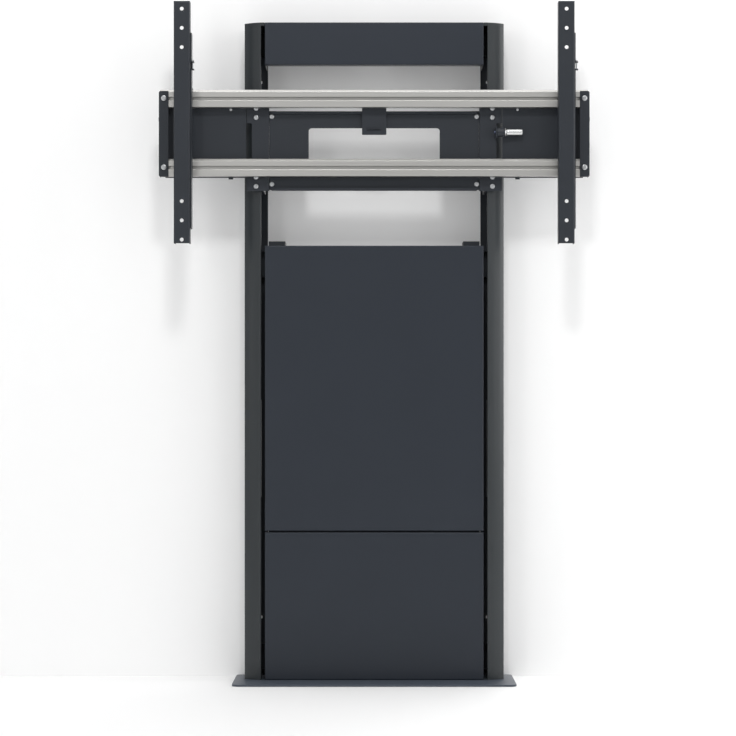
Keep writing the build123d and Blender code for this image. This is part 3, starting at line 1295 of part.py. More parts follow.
# Display strip: an upright channel, closed on top, with three mounting holes near each end
def make_strip(side):
    x = side * STRIP_X
    outer = (x - STRIP_HALF, x + STRIP_HALF)
    inner = (outer[0] + STRIP_SHEET, outer[1] - STRIP_SHEET)
    z = (STRIP_LOW, STRIP_TOP)
    points = [(x, STRIP_Z + sign * row) for sign in (-1, 1) for row in STRIP_HOLE_ROWS]
    mark = [(x, STRIP_TOP - STRIP_MARK_FROM_TOP)]
    nut_low = FRAME_Z + NOTCH_LOW + NOTCH_HEIGHT / 2 - LEVEL_NUT_T / 2
    nut_x = (outer[1] - STRIP_SHEET, outer[1] + LEVEL_SCREW_OFF + LEVEL_HEAD_R)
    nut_depth = (LEVEL_TAB_BACK, LEVEL_TAB_BACK + LEVEL_TAB_DEPTH)
    screw = [(outer[1] + LEVEL_SCREW_OFF, wall_y(LEVEL_TAB_BACK + LEVEL_TAB_DEPTH / 2))]
    with BuildPart() as strip:
        block(outer, (STRIP_FLANGE_BACK, STRIP_FRONT), z)
        front_edges = strip.faces().sort_by(Axis.Y)[0].edges().sort_by(Axis.Z)
        fillet(front_edges[1:], radius=STRIP_EDGE_R)
        hollow = (STRIP_LOW, STRIP_TOP - STRIP_SHEET)
        block(inner, (STRIP_FLANGE_BACK, STRIP_FRONT - STRIP_SHEET), hollow, Mode.SUBTRACT)
        block(nut_x, nut_depth, (nut_low, nut_low + LEVEL_NUT_T))
        holes(front_plane(STRIP_FRONT), points, STRIP_HOLE_R, STRIP_SHEET)
        discs(front_plane(STRIP_FRONT), mark, STRIP_MARK_R, -STRIP_MARK_SINK, Mode.SUBTRACT)
        holes(Plane.XY.offset(nut_low), screw, LEVEL_SCREW_R + RUN_FIT, LEVEL_NUT_T)
    return strip.part


# Hook carrier: a side plate beside the strip, a hook over the upper rail and a foot bridge
def make_hook_carrier(side):
    x = side * STRIP_X
    plate_x = (x + STRIP_HALF + CARRIER_GAP, x + STRIP_HALF + CARRIER_GAP + CARRIER_SHEET)
    bridge_x = (x - CARRIER_BRIDGE_HALF, plate_x[1])
    rail_top = UPPER_RAIL_LOW + RAIL_HEIGHT
    hook_low = rail_top + RUN_CLEAR
    hook_high = hook_low + HOOK_PLATE_T
    lip_back = RAIL_BACK + HOOK_SLOT_BACK + (HOOK_SLOT_W - HOOK_LIP_T) / 2
    bridge = (RAIL_FRONT + RUN_CLEAR, CARRIER_BRIDGE_FRONT)
    foot_low = LOWER_RAIL_LOW - RUN_CLEAR - HOOK_PLATE_T
    notch_low = FRAME_Z + NOTCH_LOW
    notch_high = notch_low + NOTCH_HEIGHT
    tab_depth = (LEVEL_TAB_BACK, LEVEL_TAB_BACK + LEVEL_TAB_DEPTH)
    tab_x = (plate_x[0], x + STRIP_HALF + LEVEL_TAB_OUT)
    notch_depth = (LEVEL_TAB_BACK - HOLE_SLACK, CARRIER_FRONT)
    axis_y = wall_y(LEVEL_TAB_BACK + LEVEL_TAB_DEPTH / 2)
    screw = [(x + STRIP_HALF + LEVEL_SCREW_OFF, axis_y)]
    plate_z = (FRAME_Z + CARRIER_BOTTOM, FRAME_Z + CARRIER_TOP)
    with BuildPart() as carrier:
        block(plate_x, (CARRIER_BACK, CARRIER_FRONT), plate_z)
        fillet(carrier.edges().filter_by(Axis.X), radius=CARRIER_CORNER_R)
        block(plate_x, notch_depth, (notch_low, notch_high), Mode.SUBTRACT)
        block(bridge_x, bridge, (hook_high - HOOK_BRIDGE_H, hook_high))
        block(bridge_x, (lip_back, CARRIER_BRIDGE_FRONT), (hook_low, hook_high))
        lip_z = (rail_top - HOOK_LIP_SINK, hook_high)
        block(bridge_x, (lip_back, lip_back + HOOK_LIP_T), lip_z)
        block(bridge_x, bridge, (foot_low, foot_low + FOOT_BRIDGE_H))
        foot_depth = (RAIL_BACK + FOOT_PLATE_OUT, CARRIER_BRIDGE_FRONT)
        block(bridge_x, foot_depth, (foot_low, foot_low + HOOK_PLATE_T))
        block(tab_x, tab_depth, (notch_high, notch_high + LEVEL_TAB_T))
        block(tab_x, tab_depth, (notch_low - LEVEL_TAB_T, notch_low))
        holes(Plane.XY.offset(notch_high), screw, LEVEL_SCREW_R + RUN_FIT, LEVEL_TAB_T)
        holes(Plane.XY.offset(notch_low), screw, LEVEL_SCREW_R + RUN_FIT, LEVEL_TAB_T)
    return carrier.part


# Levelling screw between the two tabs of a hook carrier
def make_level_screw(side):
    x = side * STRIP_X + STRIP_HALF + LEVEL_SCREW_OFF
    y = wall_y(LEVEL_TAB_BACK + LEVEL_TAB_DEPTH / 2)
    low = FRAME_Z + NOTCH_LOW - LEVEL_TAB_T
    high = FRAME_Z + NOTCH_LOW + NOTCH_HEIGHT + LEVEL_TAB_T
    with BuildPart() as screw:
        discs(Plane.XY.offset(low), [(x, y)], LEVEL_SCREW_R, high - low + RUN_CLEAR)
        with BuildSketch(Plane.XY.offset(high + RUN_CLEAR)) as head:
            with Locations((x, y)):
                RegularPolygon(LEVEL_HEAD_R, 6)
        extrude(amount=LEVEL_HEAD_T)
    return screw.part


save(make_base_plate(), "base_plate")
for name, side in SIDES.items():
    save(make_column_cover(side), f"{name}_column_cover")
    save(make_column_cap(side), f"{name}_column_cap")
    save(make_upright(side), f"{name}_upright")
    save(make_inner_post(side), f"{name}_inner_post")
    save(make_guide_rail(side), f"{name}_guide_rail")
    save(make_motor(side), f"{name}_motor")
    save(make_spindle(side), f"{name}_spindle")
    save(make_carriage_side(side), f"{name}_carriage_side")
    save(make_lift_bracket(side), f"{name}_lift_bracket")
    save(make_wing_plate(side), f"{name}_wing_plate")
    save(make_end_plate(side), f"{name}_end_plate")
    save(make_strip(side), f"{name}_strip")
    save(make_hook_carrier(side), f"{name}_hook_carrier")
    save(make_level_screw(side), f"{name}_level_screw")
save(make_cap_screws(), "cap_screws")
save(make_base_screws(), "base_screws")
save(make_crossmember(BOTTOM_CROSS_LOW), "bottom_crossmember")
save(make_crossmember(MIDDLE_CROSS_LOW), "middle_crossmember")
save(make_crossmember(TOP_CROSS_LOW, notched=True), "top_crossmember")
save(make_structure_screws(), "structure_screws")
save(make_header_cover(), "header_cover")
save(make_service_door(), "service_door")
save(make_lower_panel(), "lower_panel")
save(make_panel_clips(), "panel_clips")
save(make_hinge_frame_leaves(), "hinge_frame_leaves")
save(make_hinge_door_leaves(), "hinge_door_leaves")
save(make_hinge_pins(), "hinge_pins")
save(make_door_magnets(), "door_magnets")
save(make_door_strikes(), "door_strikes")
save(make_equipment_plate(), "equipment_plate")
save(make_control_box(), "control_box")
save(make_power_supply(), "power_supply")
save(make_guide_blocks(), "guide_blocks")
save(make_spindle_bearings(), "spindle_bearings")
save(make_spindle_nuts(), "spindle_nuts")
save(make_limit_switches(), "limit_switches")
save(make_centre_pan(), "centre_pan")
save(make_rail(UPPER_RAIL_LOW), "upper_rail")
save(make_rail(LOWER_RAIL_LOW), "lower_rail")
save(make_centre_bracket(), "centre_bracket")
save(make_frame_screws(), "frame_screws")
save(make_end_screws(), "end_screws")
save(make_wing_screws(), "wing_screws")
save(make_plunger_housing(), "plunger_housing")
save(make_locking_plunger(), "locking_plunger")
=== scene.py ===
import json
from math import radians

import bmesh
import bpy
import numpy as np
from bpy.props import FloatProperty, FloatVectorProperty, PointerProperty
from bpy.types import Operator, Panel, PropertyGroup
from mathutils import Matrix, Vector


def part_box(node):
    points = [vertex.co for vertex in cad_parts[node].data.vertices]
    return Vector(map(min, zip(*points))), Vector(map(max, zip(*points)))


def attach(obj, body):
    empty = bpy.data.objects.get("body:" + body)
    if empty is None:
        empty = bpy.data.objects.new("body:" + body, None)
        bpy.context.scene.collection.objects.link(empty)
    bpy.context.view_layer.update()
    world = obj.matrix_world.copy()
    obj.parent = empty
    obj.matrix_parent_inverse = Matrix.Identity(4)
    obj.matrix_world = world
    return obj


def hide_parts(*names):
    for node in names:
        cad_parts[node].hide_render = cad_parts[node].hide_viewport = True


# Looks of a motor-driven display stand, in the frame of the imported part: X runs to the right seen
# from the front, the front faces -Y, Z is up and the floor is at zero. Shapes are worked out in
# millimetres as x, depth in front of the wall plane, and height, and put into the meshes in metres.

bl_info = {
    "name": "Display stand looks",
    "version": (1, 0, 0),
    "blender": (4, 5, 0),
    "location": "3D View > Sidebar > Stand",
    "description": "Builds the visible pieces, finishes and stage of a motor-driven display stand",
    "category": "Object",
}

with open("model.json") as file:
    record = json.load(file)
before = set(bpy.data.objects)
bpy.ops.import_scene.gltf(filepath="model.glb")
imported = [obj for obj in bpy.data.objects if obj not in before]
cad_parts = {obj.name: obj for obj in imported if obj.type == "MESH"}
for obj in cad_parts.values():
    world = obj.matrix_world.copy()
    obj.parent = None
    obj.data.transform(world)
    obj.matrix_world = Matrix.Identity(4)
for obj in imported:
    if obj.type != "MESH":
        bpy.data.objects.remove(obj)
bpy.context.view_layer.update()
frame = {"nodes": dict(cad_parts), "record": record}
RECORD = frame["record"]
SLOT_OF = {row["node"]: row["material_slot"] for row in RECORD["subparts"]}
BODY_OF = {node: body for body, nodes in RECORD["behaviour"]["bodies"].items() for node in nodes}
SIDES = {"left": -1, "right": 1}
MM = 0.001
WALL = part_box("base_plate")[1].y / MM


def linear(hex_colour):
    """Linear RGB of an sRGB hex colour: c / 12.92 below 0.04045, else ((c + 0.055) / 1.055) ** 2.4."""
    value = np.array([int(hex_colour[start:start + 2], 16) for start in (0, 2, 4)]) / 255
    high = ((value + 0.055) / 1.055) ** 2.4
    return tuple(float(channel) for channel in np.where(value <= 0.04045, value / 12.92, high))


def length(name, description, millimetres):
    """A size of the sidebar."""
    return FloatProperty(
        name=name, description=description, default=millimetres * MM, unit="LENGTH", precision=5)


def paint(name, description, hex_colour):
    """A colour of the sidebar."""
    return FloatVectorProperty(
        name=name, description=description, subtype="COLOR", size=3, min=0, max=1,
        default=linear(hex_colour))


# Sizes that a user would change
class StandSizes(PropertyGroup):
    """Sizes of the sheets, bends and edges"""

    sheet: length("Cover sheet", "Thickness of the header, door and panel sheet", 1.5)
    sheet_bend: length("Cover bend", "Outer bend radius of the folded covers", 3.0)
    column_wall: length("Column wall", "Wall thickness of the extruded column covers", 2.5)
    column_bow: length("Column bow", "Radius of a column's bowed front", 105)
    column_fall: length("Column fall", "How far a column's front falls back towards its side", 23)
    column_edge: length("Column edge", "Radius between a column's front and its side", 3)
    strip_sheet: length("Strip sheet", "Sheet thickness of the display strips", 3)
    strip_bend: length("Strip bend", "Outer bend radius of the display strips", 4.0)
    edge_break: length("Edge break", "Rounding of cut sheet edges", 0.35)


# Colours that a user would change
class StandColours(PropertyGroup):
    """Colours of the finishes"""

    cover_coat: paint("Cover coat", "Powder coat of the door, panel and header", "292e36")
    # Lighter than the cover coat: painted light from above on the base plate's top, which has the same coat
    top_lit_base_coat: paint("Base coat", "Powder coat of the base plate", "484f59")
    column_coat: paint("Column coat", "Satin coat of the extruded columns", "24292c")
    frame_coat: paint("Frame coat", "Powder coat of the lift carriage and strips", "292d33")
    anodised: paint("Anodised rails", "Clear anodised aluminium of the slotted rails", "bebdba")
    zinc: paint("Zinc plate", "Zinc plated steel of the frame and screws", "c4c6c8")
    stage: paint("Stage", "Pale floor and backdrop", "f2f2f2")


# Shapes on numpy grids
def extent(node):
    """Lowest and highest x, depth and height of a node, in millimetres."""
    low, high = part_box(node)
    return (low.x / MM, high.x / MM), (WALL - high.y / MM, WALL - low.y / MM), (low.z / MM, high.z / MM)


def grid(rows, columns, closed=False):
    """Quads between neighbouring points of a grid: (r, c), (r + 1, c), (r + 1, c + 1), (r, c + 1)."""
    index = np.arange(rows * columns).reshape(rows, columns)
    if closed:
        index = np.hstack((index, index[:, :1]))
    return np.stack((index[:-1, :-1], index[1:, :-1], index[1:, 1:], index[:-1, 1:]), axis=-1)


def loft(loops):
    """Closed body: quads between neighbouring loops of points, and the first and last loop as faces."""
    rows, columns = loops.shape[:2]
    quads = grid(rows, columns, closed=True).reshape(-1, 4).tolist()
    first = list(range(columns))
    last = list(range(rows * columns - columns, rows * columns))
    return loops.reshape(-1, 3), quads + [first, last[::-1]]


def rounded(corners, radii, steps=6):
    """Closed outline with tangent arcs for corners: an arc of radius r begins r tan(turn / 2) before
    its corner, and its radius vector turns by the angle between the two edges. A corner of radius
    nought stays one point."""
    corners = np.asarray(corners, float)
    radii = np.broadcast_to(np.asarray(radii, float), len(corners))[:, None]
    into = corners - np.roll(corners, 1, axis=0)
    into /= np.linalg.norm(into, axis=1, keepdims=True)
    leave = np.roll(into, -1, axis=0)
    cross = into[:, 0] * leave[:, 1] - into[:, 1] * leave[:, 0]
    turn = np.arctan2(cross, (into * leave).sum(axis=1))[:, None]
    normal = np.sign(turn) * np.stack((-into[:, 1], into[:, 0]), axis=-1)
    centre = corners - into * radii * np.tan(abs(turn) / 2) + normal * radii
    angle = turn * np.linspace(0, 1, steps + 1)
    spoke = -normal * radii
    x = centre[:, :1] + np.cos(angle) * spoke[:, :1] - np.sin(angle) * spoke[:, 1:]
    y = centre[:, 1:] + np.sin(angle) * spoke[:, :1] + np.cos(angle) * spoke[:, 1:]
    kept = (radii > 0) | (np.arange(steps + 1) == 0)
    return np.stack((x, y), axis=-1)[kept]


def prism(outline, axis, span):
    """Closed bar: an outline in the plane across an axis (0 for x, 2 for height), from span to span."""
    loops = np.empty((len(span), len(outline), 3))
    across = [place for place in range(3) if place != axis]
    loops[..., across] = outline
    loops[..., axis] = np.asarray(span, float)[:, None]
    return loft(loops)


def edge_rows(low, high, edge, steps=3):
    """Insets and heights of a plate's rounded edges: edge (1 - sin a) and edge (1 - cos a) below, and
    the same turned round above."""
    angle = np.radians(np.linspace(0, 90, steps + 1))
    drawn_in = edge * (1 - np.sin(angle))
    rise = edge * (1 - np.cos(angle))
    below = np.stack((drawn_in, low + rise), axis=-1)
    above = np.stack((rise, high - drawn_in), axis=-1)
    return np.vstack((below, above))


def slab(outline_at, z, edge):
    """Flat body with rounded edges: at each height of its edge rows, its outline drawn in by the inset."""
    loops = []
    for inset, height in edge_rows(*z, edge):
        outline = outline_at(inset)
        loops.append(np.column_stack((outline, np.full(len(outline), height))))
    return loft(np.array(loops))


def bend_rows(front, radius, steps=6):
    """Quarter bend from a flat front: out by radius sin a and back by radius (1 - cos a)."""
    angle = np.radians(np.linspace(0, 90, steps + 1))
    return np.stack((radius * np.sin(angle), front - radius * (1 - np.cos(angle))), axis=-1)


def folded(border, outward, profile, keep=None, closed=True):
    """Folded edge of a sheet: point j of the flat's border moves by profile[i, 0] along outward[j]
    and goes to depth profile[i, 1]. Only the quads whose middle passes keep(x, depth, z) stay."""
    points = np.empty((len(profile), len(border), 3))
    points[..., 0] = border[:, 0] + profile[:, :1] * outward[:, 0]
    points[..., 1] = profile[:, 1:]
    points[..., 2] = border[:, 1] + profile[:, :1] * outward[:, 1]
    points = points.reshape(-1, 3)
    quads = grid(len(profile), len(border), closed)
    if keep:
        middle = np.moveaxis(points[quads].mean(axis=2), -1, 0)
        quads = quads[keep(*middle)]
    return points, quads.reshape(-1, 4).tolist()


def border_of(x, z, top_breaks=(), left_breaks=()):
    """Border of a rectangle, from its lower left corner up, with extra points on its left and top
    sides, and for each point the direction in which a fold carries it outwards."""
    left = np.array([(x[0], height) for height in sorted(left_breaks)]).reshape(-1, 2)
    top = np.array([(place, z[1]) for place in sorted(top_breaks)]).reshape(-1, 2)
    border = np.vstack(([(x[0], z[0])], left, [(x[0], z[1])], top, [(x[1], z[1]), (x[1], z[0])]))
    across = np.where(border[:, 0] == x[0], -1.0, 0.0) + np.where(border[:, 0] == x[1], 1.0, 0.0)
    along = np.where(border[:, 1] == z[0], -1.0, 0.0) + np.where(border[:, 1] == z[1], 1.0, 0.0)
    return border, np.stack((across, along), axis=-1)


def holed_cell(centre, half, radius, depth, count=32):
    """Flat cell with a round hole: from each corner a fan to its quarter of the circle, and on each
    side one triangle between two corners and the circle."""
    angle = np.linspace(0, 2 * np.pi, count, endpoint=False)
    circle = radius * np.stack((np.cos(angle), np.sin(angle)), axis=-1)
    corners = np.array([(1, 1), (-1, 1), (-1, -1), (1, -1)]) * half
    flat = np.vstack((corners, circle)) + centre
    points = np.insert(flat, 1, depth, axis=1)
    step = np.arange(count)
    fans = np.stack((step // (count // 4), 4 + (step + 1) % count, 4 + step), axis=-1)
    side = np.arange(4)
    sides = np.stack((side, (side + 1) % 4, 4 + (side + 1) * (count // 4) % count), axis=-1)
    return points, fans.tolist() + sides.tolist()


def turned(profile, axis, origin, sign=1, socket=None, steps=36):
    """Turned body: a circle of radius profile[i, 0] at height profile[i, 1] along an axis. A socket,
    given as rows of the same form, goes on as hexagons of radius r cos 30 / cos(a mod 60 - 30)."""
    angle = np.linspace(0, 2 * np.pi, steps, endpoint=False)
    shape = np.asarray(profile, float)
    radius = np.repeat(shape[:, :1], steps, axis=1)
    height = np.repeat(shape[:, 1:], steps, axis=1)
    if socket is not None:
        flats = np.cos(radians(30)) / np.cos(angle % radians(60) - radians(30))
        hexagon = np.asarray(socket, float)
        radius = np.vstack((radius, hexagon[:, :1] * flats))
        height = np.vstack((height, np.repeat(hexagon[:, 1:], steps, axis=1)))
    loops = np.empty(radius.shape + (3,))
    across = [place for place in range(3) if place != axis]
    loops[..., across[0]] = radius * np.cos(angle)
    loops[..., across[1]] = radius * np.sin(angle)
    loops[..., axis] = sign * height
    return loft(loops + np.asarray(origin, float))


def solids_of(node):
    """Lowest and highest corner of each solid of a node, as x, depth and height: triangle corners at
    one place, to a hundredth of a millimetre, share a number, and the lowest number spreads over each
    solid until it settles."""
    mesh = frame["nodes"][node].data
    points = np.empty(len(mesh.vertices) * 3)
    mesh.vertices.foreach_get("co", points)
    places, number = np.unique(np.round(points.reshape(-1, 3) / MM, 2), axis=0, return_inverse=True)
    corners = np.empty(len(mesh.loops), np.int32)
    mesh.loops.foreach_get("vertex_index", corners)
    triangles = number.reshape(-1)[corners].reshape(-1, 3)
    solid = np.arange(len(places))
    settled = False
    while not settled:
        spread = solid.copy()
        np.minimum.at(spread, triangles, spread[triangles].min(axis=1, keepdims=True))
        spread = spread[spread]
        settled = (spread == solid).all()
        solid = spread
    places = places * (1, -1, 1) + (0, WALL, 0)
    own = [places[solid == mark] for mark in np.unique(solid)]
    return [(some.min(axis=0), some.max(axis=0)) for some in own]


def joined(patches):
    """One list of points and faces from several patches: a patch's corners count on from the points
    before it."""
    points = np.vstack([patch[0] for patch in patches])
    starts = np.cumsum([0] + [len(patch[0]) for patch in patches]).tolist()
    faces = []
    for start, (_, some) in zip(starts, patches):
        faces += [[corner + start for corner in face] for face in some]
    return points, faces


# Pieces
def close_mesh(mesh, turn=True):
    """Merges doubles, then turns a new shape's faces outwards, or clears a node's flat faces of
    needless edges."""
    double, flat_angle = 0.002 * MM, 0.5
    shape = bmesh.new()
    shape.from_mesh(mesh)
    bmesh.ops.remove_doubles(shape, verts=shape.verts, dist=double)
    if turn:
        bmesh.ops.recalc_face_normals(shape, faces=shape.faces)
    else:
        bmesh.ops.dissolve_limit(
            shape, angle_limit=radians(flat_angle), verts=shape.verts, edges=shape.edges)
    shape.to_mesh(mesh)
    shape.free()


def dress(piece, nodes, wall, edge, angle, slot=None, clamped=False):
    """Finishes a piece: wall thickness, broken edges, normals; it rides with and replaces its nodes.
    Clamped edges stay as small as the tightest corner allows."""
    mesh = piece.data
    mesh.polygons.foreach_set("use_smooth", np.ones(len(mesh.polygons), bool))
    mesh.set_sharp_from_angle(angle=radians(angle))
    bpy.context.scene.collection.objects.link(piece)
    if wall:
        solid = piece.modifiers.new("wall", "SOLIDIFY")
        solid.thickness = wall
        solid.offset = -1
        solid.use_even_offset = True
    if edge:
        broken = piece.modifiers.new("broken edges", "BEVEL")
        broken.width = edge
        broken.segments = 2
        broken.limit_method = "ANGLE"
        broken.angle_limit = radians(angle)
        broken.use_clamp_overlap = clamped
        broken.miter_outer = "MITER_SHARP" if clamped else "MITER_ARC"
    normals = piece.modifiers.new("even normals", "WEIGHTED_NORMAL")
    normals.keep_sharp = True
    mesh.materials.clear()
    slot = slot or SLOT_OF[nodes[0]]
    mesh.materials.append(FINISHES[slot])
    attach(piece, BODY_OF[nodes[0]])
    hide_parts(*nodes)
    return piece


def add_piece(name, patches, nodes, wall=0.0, edge=0.0, angle=40, slot=None):
    """New piece from patches given in x, depth and height in millimetres."""
    points, faces = joined(patches)
    points = np.stack((points[:, 0], WALL - points[:, 1], points[:, 2]), axis=-1) * MM
    mesh = bpy.data.meshes.new(name)
    mesh.from_pydata(points, [], faces)
    close_mesh(mesh)
    return dress(bpy.data.objects.new(name, mesh), nodes, wall, edge, angle, slot)


def dressed_copy(node, edge=None, angle=35, slot=None):
    """Piece with a node's own shape, its triangles merged into faces and its edges broken, by the
    edge break of cut sheet unless an edge is given."""
    mesh = frame["nodes"][node].data.copy()
    mesh.name = f"{node}_finished"
    if "custom_normal" in mesh.attributes:
        mesh.attributes.remove(mesh.attributes["custom_normal"])
    close_mesh(mesh, turn=False)
    piece = bpy.data.objects.new(f"{node}_finished", mesh)
    edge = edge or bpy.context.scene.stand_sizes.edge_break
    return dress(piece, (node,), 0.0, edge, angle, slot, clamped=True)


# Finishes
def add_node(tree, kind, inputs=None, **settings):
    """Adds a shader node, sets its properties, then fills its inputs with values or links."""
    made = tree.nodes.new(kind)
    for key, value in settings.items():
        setattr(made, key, value)
    for key, value in (inputs or {}).items():
        if isinstance(value, bpy.types.NodeSocket):
            tree.links.new(value, made.inputs[key])
        else:
            made.inputs[key].default_value = value
    return made


def new_finish(name, **values):
    """Material with one shader, whose plain values are set on its own sockets."""
    material = bpy.data.materials.new(name)
    material.use_nodes = True
    shader = material.node_tree.nodes["Principled BSDF"]
    for key, value in values.items():
        shader.inputs[key.replace("_", " ")].default_value = value
    return material, material.node_tree, shader


def follow(tree, shader, colour, tone, fine, spread, swing=0.0, strength=0.0, height=0.0):
    """Ties a shader to patterns: tone moves its colour between two shades, spread to each side of the
    colour, and fine moves its roughness, swing to each side, and lifts its surface by a height."""
    dark = [channel * (1 - spread) for channel in colour] + [1]
    light = [min(channel * (1 + spread), 1) for channel in colour] + [1]
    mix = add_node(tree, "ShaderNodeMix", data_type="RGBA", inputs={0: tone, 6: dark, 7: light})
    tree.links.new(mix.outputs[2], shader.inputs["Base Color"])
    if swing:
        middle = shader.inputs["Roughness"].default_value
        rough = add_node(tree, "ShaderNodeMapRange", {
            "Value": fine, "To Min": middle - swing, "To Max": middle + swing})
        tree.links.new(rough.outputs["Result"], shader.inputs["Roughness"])
    if strength:
        bump = add_node(tree, "ShaderNodeBump", {"Height": fine, "Strength": strength, "Distance": height})
        tree.links.new(bump.outputs["Normal"], shader.inputs["Normal"])


def powder_coat(name, colour, roughness):
    """Polyester powder coat, baked: even and matt, with a grain of melted powder of about 0.6 mm
    that breaks up and weakens reflections, and slight clouds where the film is thicker."""
    material, tree, shader = new_finish(name, Roughness=roughness, IOR=1.5, Specular_IOR_Level=0.3)
    place = add_node(tree, "ShaderNodeTexCoord").outputs["Object"]
    grain_size, cloud_size = 0.6 * MM, 180 * MM
    cloud = add_node(tree, "ShaderNodeTexNoise", {"Vector": place, "Scale": 1 / cloud_size, "Detail": 2})
    grain = add_node(tree, "ShaderNodeTexNoise", {"Vector": place, "Scale": 1 / grain_size, "Detail": 2})
    follow(tree, shader, colour, cloud.outputs["Fac"], grain.outputs["Fac"], spread=0.06,
           swing=0.05, strength=0.25, height=0.05 * MM)
    return material


def tool_marks(tree, squeeze, line_size):
    """Marks that a tool left, line_size apart: noise that a squeeze stretches to lines, or leaves even."""
    place = add_node(tree, "ShaderNodeTexCoord").outputs["Object"]
    stretched = add_node(tree, "ShaderNodeMapping", {"Vector": place, "Scale": squeeze})
    lines = add_node(tree, "ShaderNodeTexNoise", {
        "Vector": stretched.outputs["Vector"], "Scale": 1 / line_size, "Detail": 3})
    return lines.outputs["Fac"]


def extruded_coat(name, colour, roughness):
    """Satin coat on extruded aluminium: smooth, with faint draw lines along the column, about 2 mm
    apart, that stretch the highlights."""
    material, tree, shader = new_finish(name, Roughness=roughness, IOR=1.5)
    lines = tool_marks(tree, (1, 1, 0.004), 2 * MM)
    follow(tree, shader, colour, lines, lines, spread=0.08, swing=0.06, strength=0.12, height=0.05 * MM)
    return material


def brushed_metal(name, colour, roughness, squeeze, line_size):
    """Bare metal: the marks of its last tool drive colour, roughness and bump."""
    material, tree, shader = new_finish(name, Roughness=roughness, Metallic=1.0)
    marks = tool_marks(tree, squeeze, line_size)
    follow(tree, shader, colour, marks, marks, spread=0.06, swing=0.08, strength=0.2, height=0.04 * MM)
    return material


def plated_steel(name, colour, roughness):
    """Bright plate, zinc and passivated or polished: fine crystal spangle of about 3 mm that shifts
    tone slightly, under a haze of about 12 mm that drives roughness."""
    material, tree, shader = new_finish(name, Roughness=roughness, Metallic=1.0)
    place = add_node(tree, "ShaderNodeTexCoord").outputs["Object"]
    spangle_size, haze_size = 3 * MM, 12 * MM
    spangle = add_node(tree, "ShaderNodeTexVoronoi", {"Vector": place, "Scale": 1 / spangle_size})
    haze = add_node(tree, "ShaderNodeTexNoise", {"Vector": place, "Scale": 1 / haze_size, "Detail": 3})
    follow(tree, shader, colour, spangle.outputs["Distance"], haze.outputs["Fac"], spread=0.05, swing=0.08)
    return material


def moulded_plastic(name, colour, roughness):
    """Moulded ABS: spark-eroded texture of about 0.4 mm, matt, with a dull highlight."""
    material, tree, shader = new_finish(name, Roughness=roughness, IOR=1.53)
    place = add_node(tree, "ShaderNodeTexCoord").outputs["Object"]
    grain_size = 0.4 * MM
    grain = add_node(tree, "ShaderNodeTexNoise", {"Vector": place, "Scale": 1 / grain_size, "Detail": 2})
    follow(tree, shader, colour, grain.outputs["Fac"], grain.outputs["Fac"], spread=0.1,
           strength=0.4, height=0.05 * MM)
    return material


# Squeezes of a pattern: to lines along x, to lines along the height, and none
ALONG_X = (0.003, 1, 1)
ALONG_Z = (1, 1, 0.003)
EVEN = (1, 1, 1)
FINISHES = {}


def make_finishes(colours):
    """All finishes by material slot, and the base plate's coat: a lighter copy of the cover coat that
    paints in light from above on its top.
    """
    FINISHES.update({
        "panel_coat": powder_coat("cover_powder_coat", colours.cover_coat, roughness=0.36),
        # A lighter copy of the cover coat: painted light from above on the base plate's top
        "top_lit_base_coat": powder_coat("top_lit_base_powder_coat", colours.top_lit_base_coat, roughness=0.45),
        "column_coat": extruded_coat("column_satin_coat", colours.column_coat, roughness=0.33),
        "frame_coat": powder_coat("frame_powder_coat", colours.frame_coat, roughness=0.45),
        "zinc_steel": plated_steel("zinc_plated_steel", colours.zinc, roughness=0.3),
        "rail_aluminium": brushed_metal(
            "clear_anodised_aluminium", colours.anodised, 0.38, squeeze=ALONG_X, line_size=1.2 * MM),
        "ground_steel": brushed_metal(
            "ground_steel", linear("b4b6b8"), 0.3, squeeze=ALONG_Z, line_size=0.8 * MM),
        "nut_bronze": brushed_metal(
            "turned_bronze", linear("b58a4e"), 0.34, squeeze=EVEN, line_size=1.5 * MM),
        "motor_steel": powder_coat("motor_enamel", linear("8f9499"), roughness=0.35),
        "polished_steel": plated_steel("polished_steel", linear("dcdddd"), roughness=0.24),
        "black_plastic": moulded_plastic("moulded_black_plastic", linear("1d1e20"), roughness=0.5),
        "spring_clip": brushed_metal(
            "blued_spring_steel", linear("4a5060"), 0.35, squeeze=EVEN, line_size=2 * MM),
    })


# Covers between the columns
def flat_front(border, depth):
    """The flat inside a border, as one face."""
    return np.insert(border, 1, depth, axis=1), [list(range(len(border)))]


def cover_skin(node, sizes, gaps=(), gap_width=0.0, gap_half=0.0):
    """Front, walls and lips of a shallow cover that is open to the rear, as one skin. Its left side is
    cut away for a width behind the front, and half a gap below and above the height of each gap."""
    lip = 13.5
    sheet, bend = sizes.sheet / MM, sizes.sheet_bend / MM
    x, depth, z = extent(node)
    flat_x = (x[0] + bend, x[1] - bend)
    flat_z = (z[0] + bend, z[1] - bend)
    breaks = [height + shift for height in gaps for shift in (-gap_half, gap_half)]
    border, outward = border_of(flat_x, flat_z, left_breaks=breaks)
    back = [(bend, depth[0]), (bend - lip, depth[0])]
    profile = np.vstack((bend_rows(depth[1], bend), back))

    def keep(across, deep, height):
        near = np.zeros(across.shape, bool)
        for middle in gaps:
            near |= abs(height - middle) < gap_half
        return ~(near & (across < x[0] + gap_width) & (deep < depth[1] - sheet))

    return [folded(border, outward, profile, keep), flat_front(border, depth[1])]


class STAND_OT_service_door(Operator):
    """Makes the service door: a folded sheet with lips, cut away beside its hinges"""

    bl_idname = "stand.service_door"
    bl_label = "Service door"

    def execute(self, context):
        sizes = context.scene.stand_sizes
        hinges = [(low[2] + high[2]) / 2 for low, high in solids_of("hinge_door_leaves")]
        patches = cover_skin("service_door", sizes, hinges, gap_width=20.0, gap_half=33.0)
        add_piece("door_sheet", patches, ("service_door",), wall=sizes.sheet, edge=sizes.edge_break)
        return {"FINISHED"}


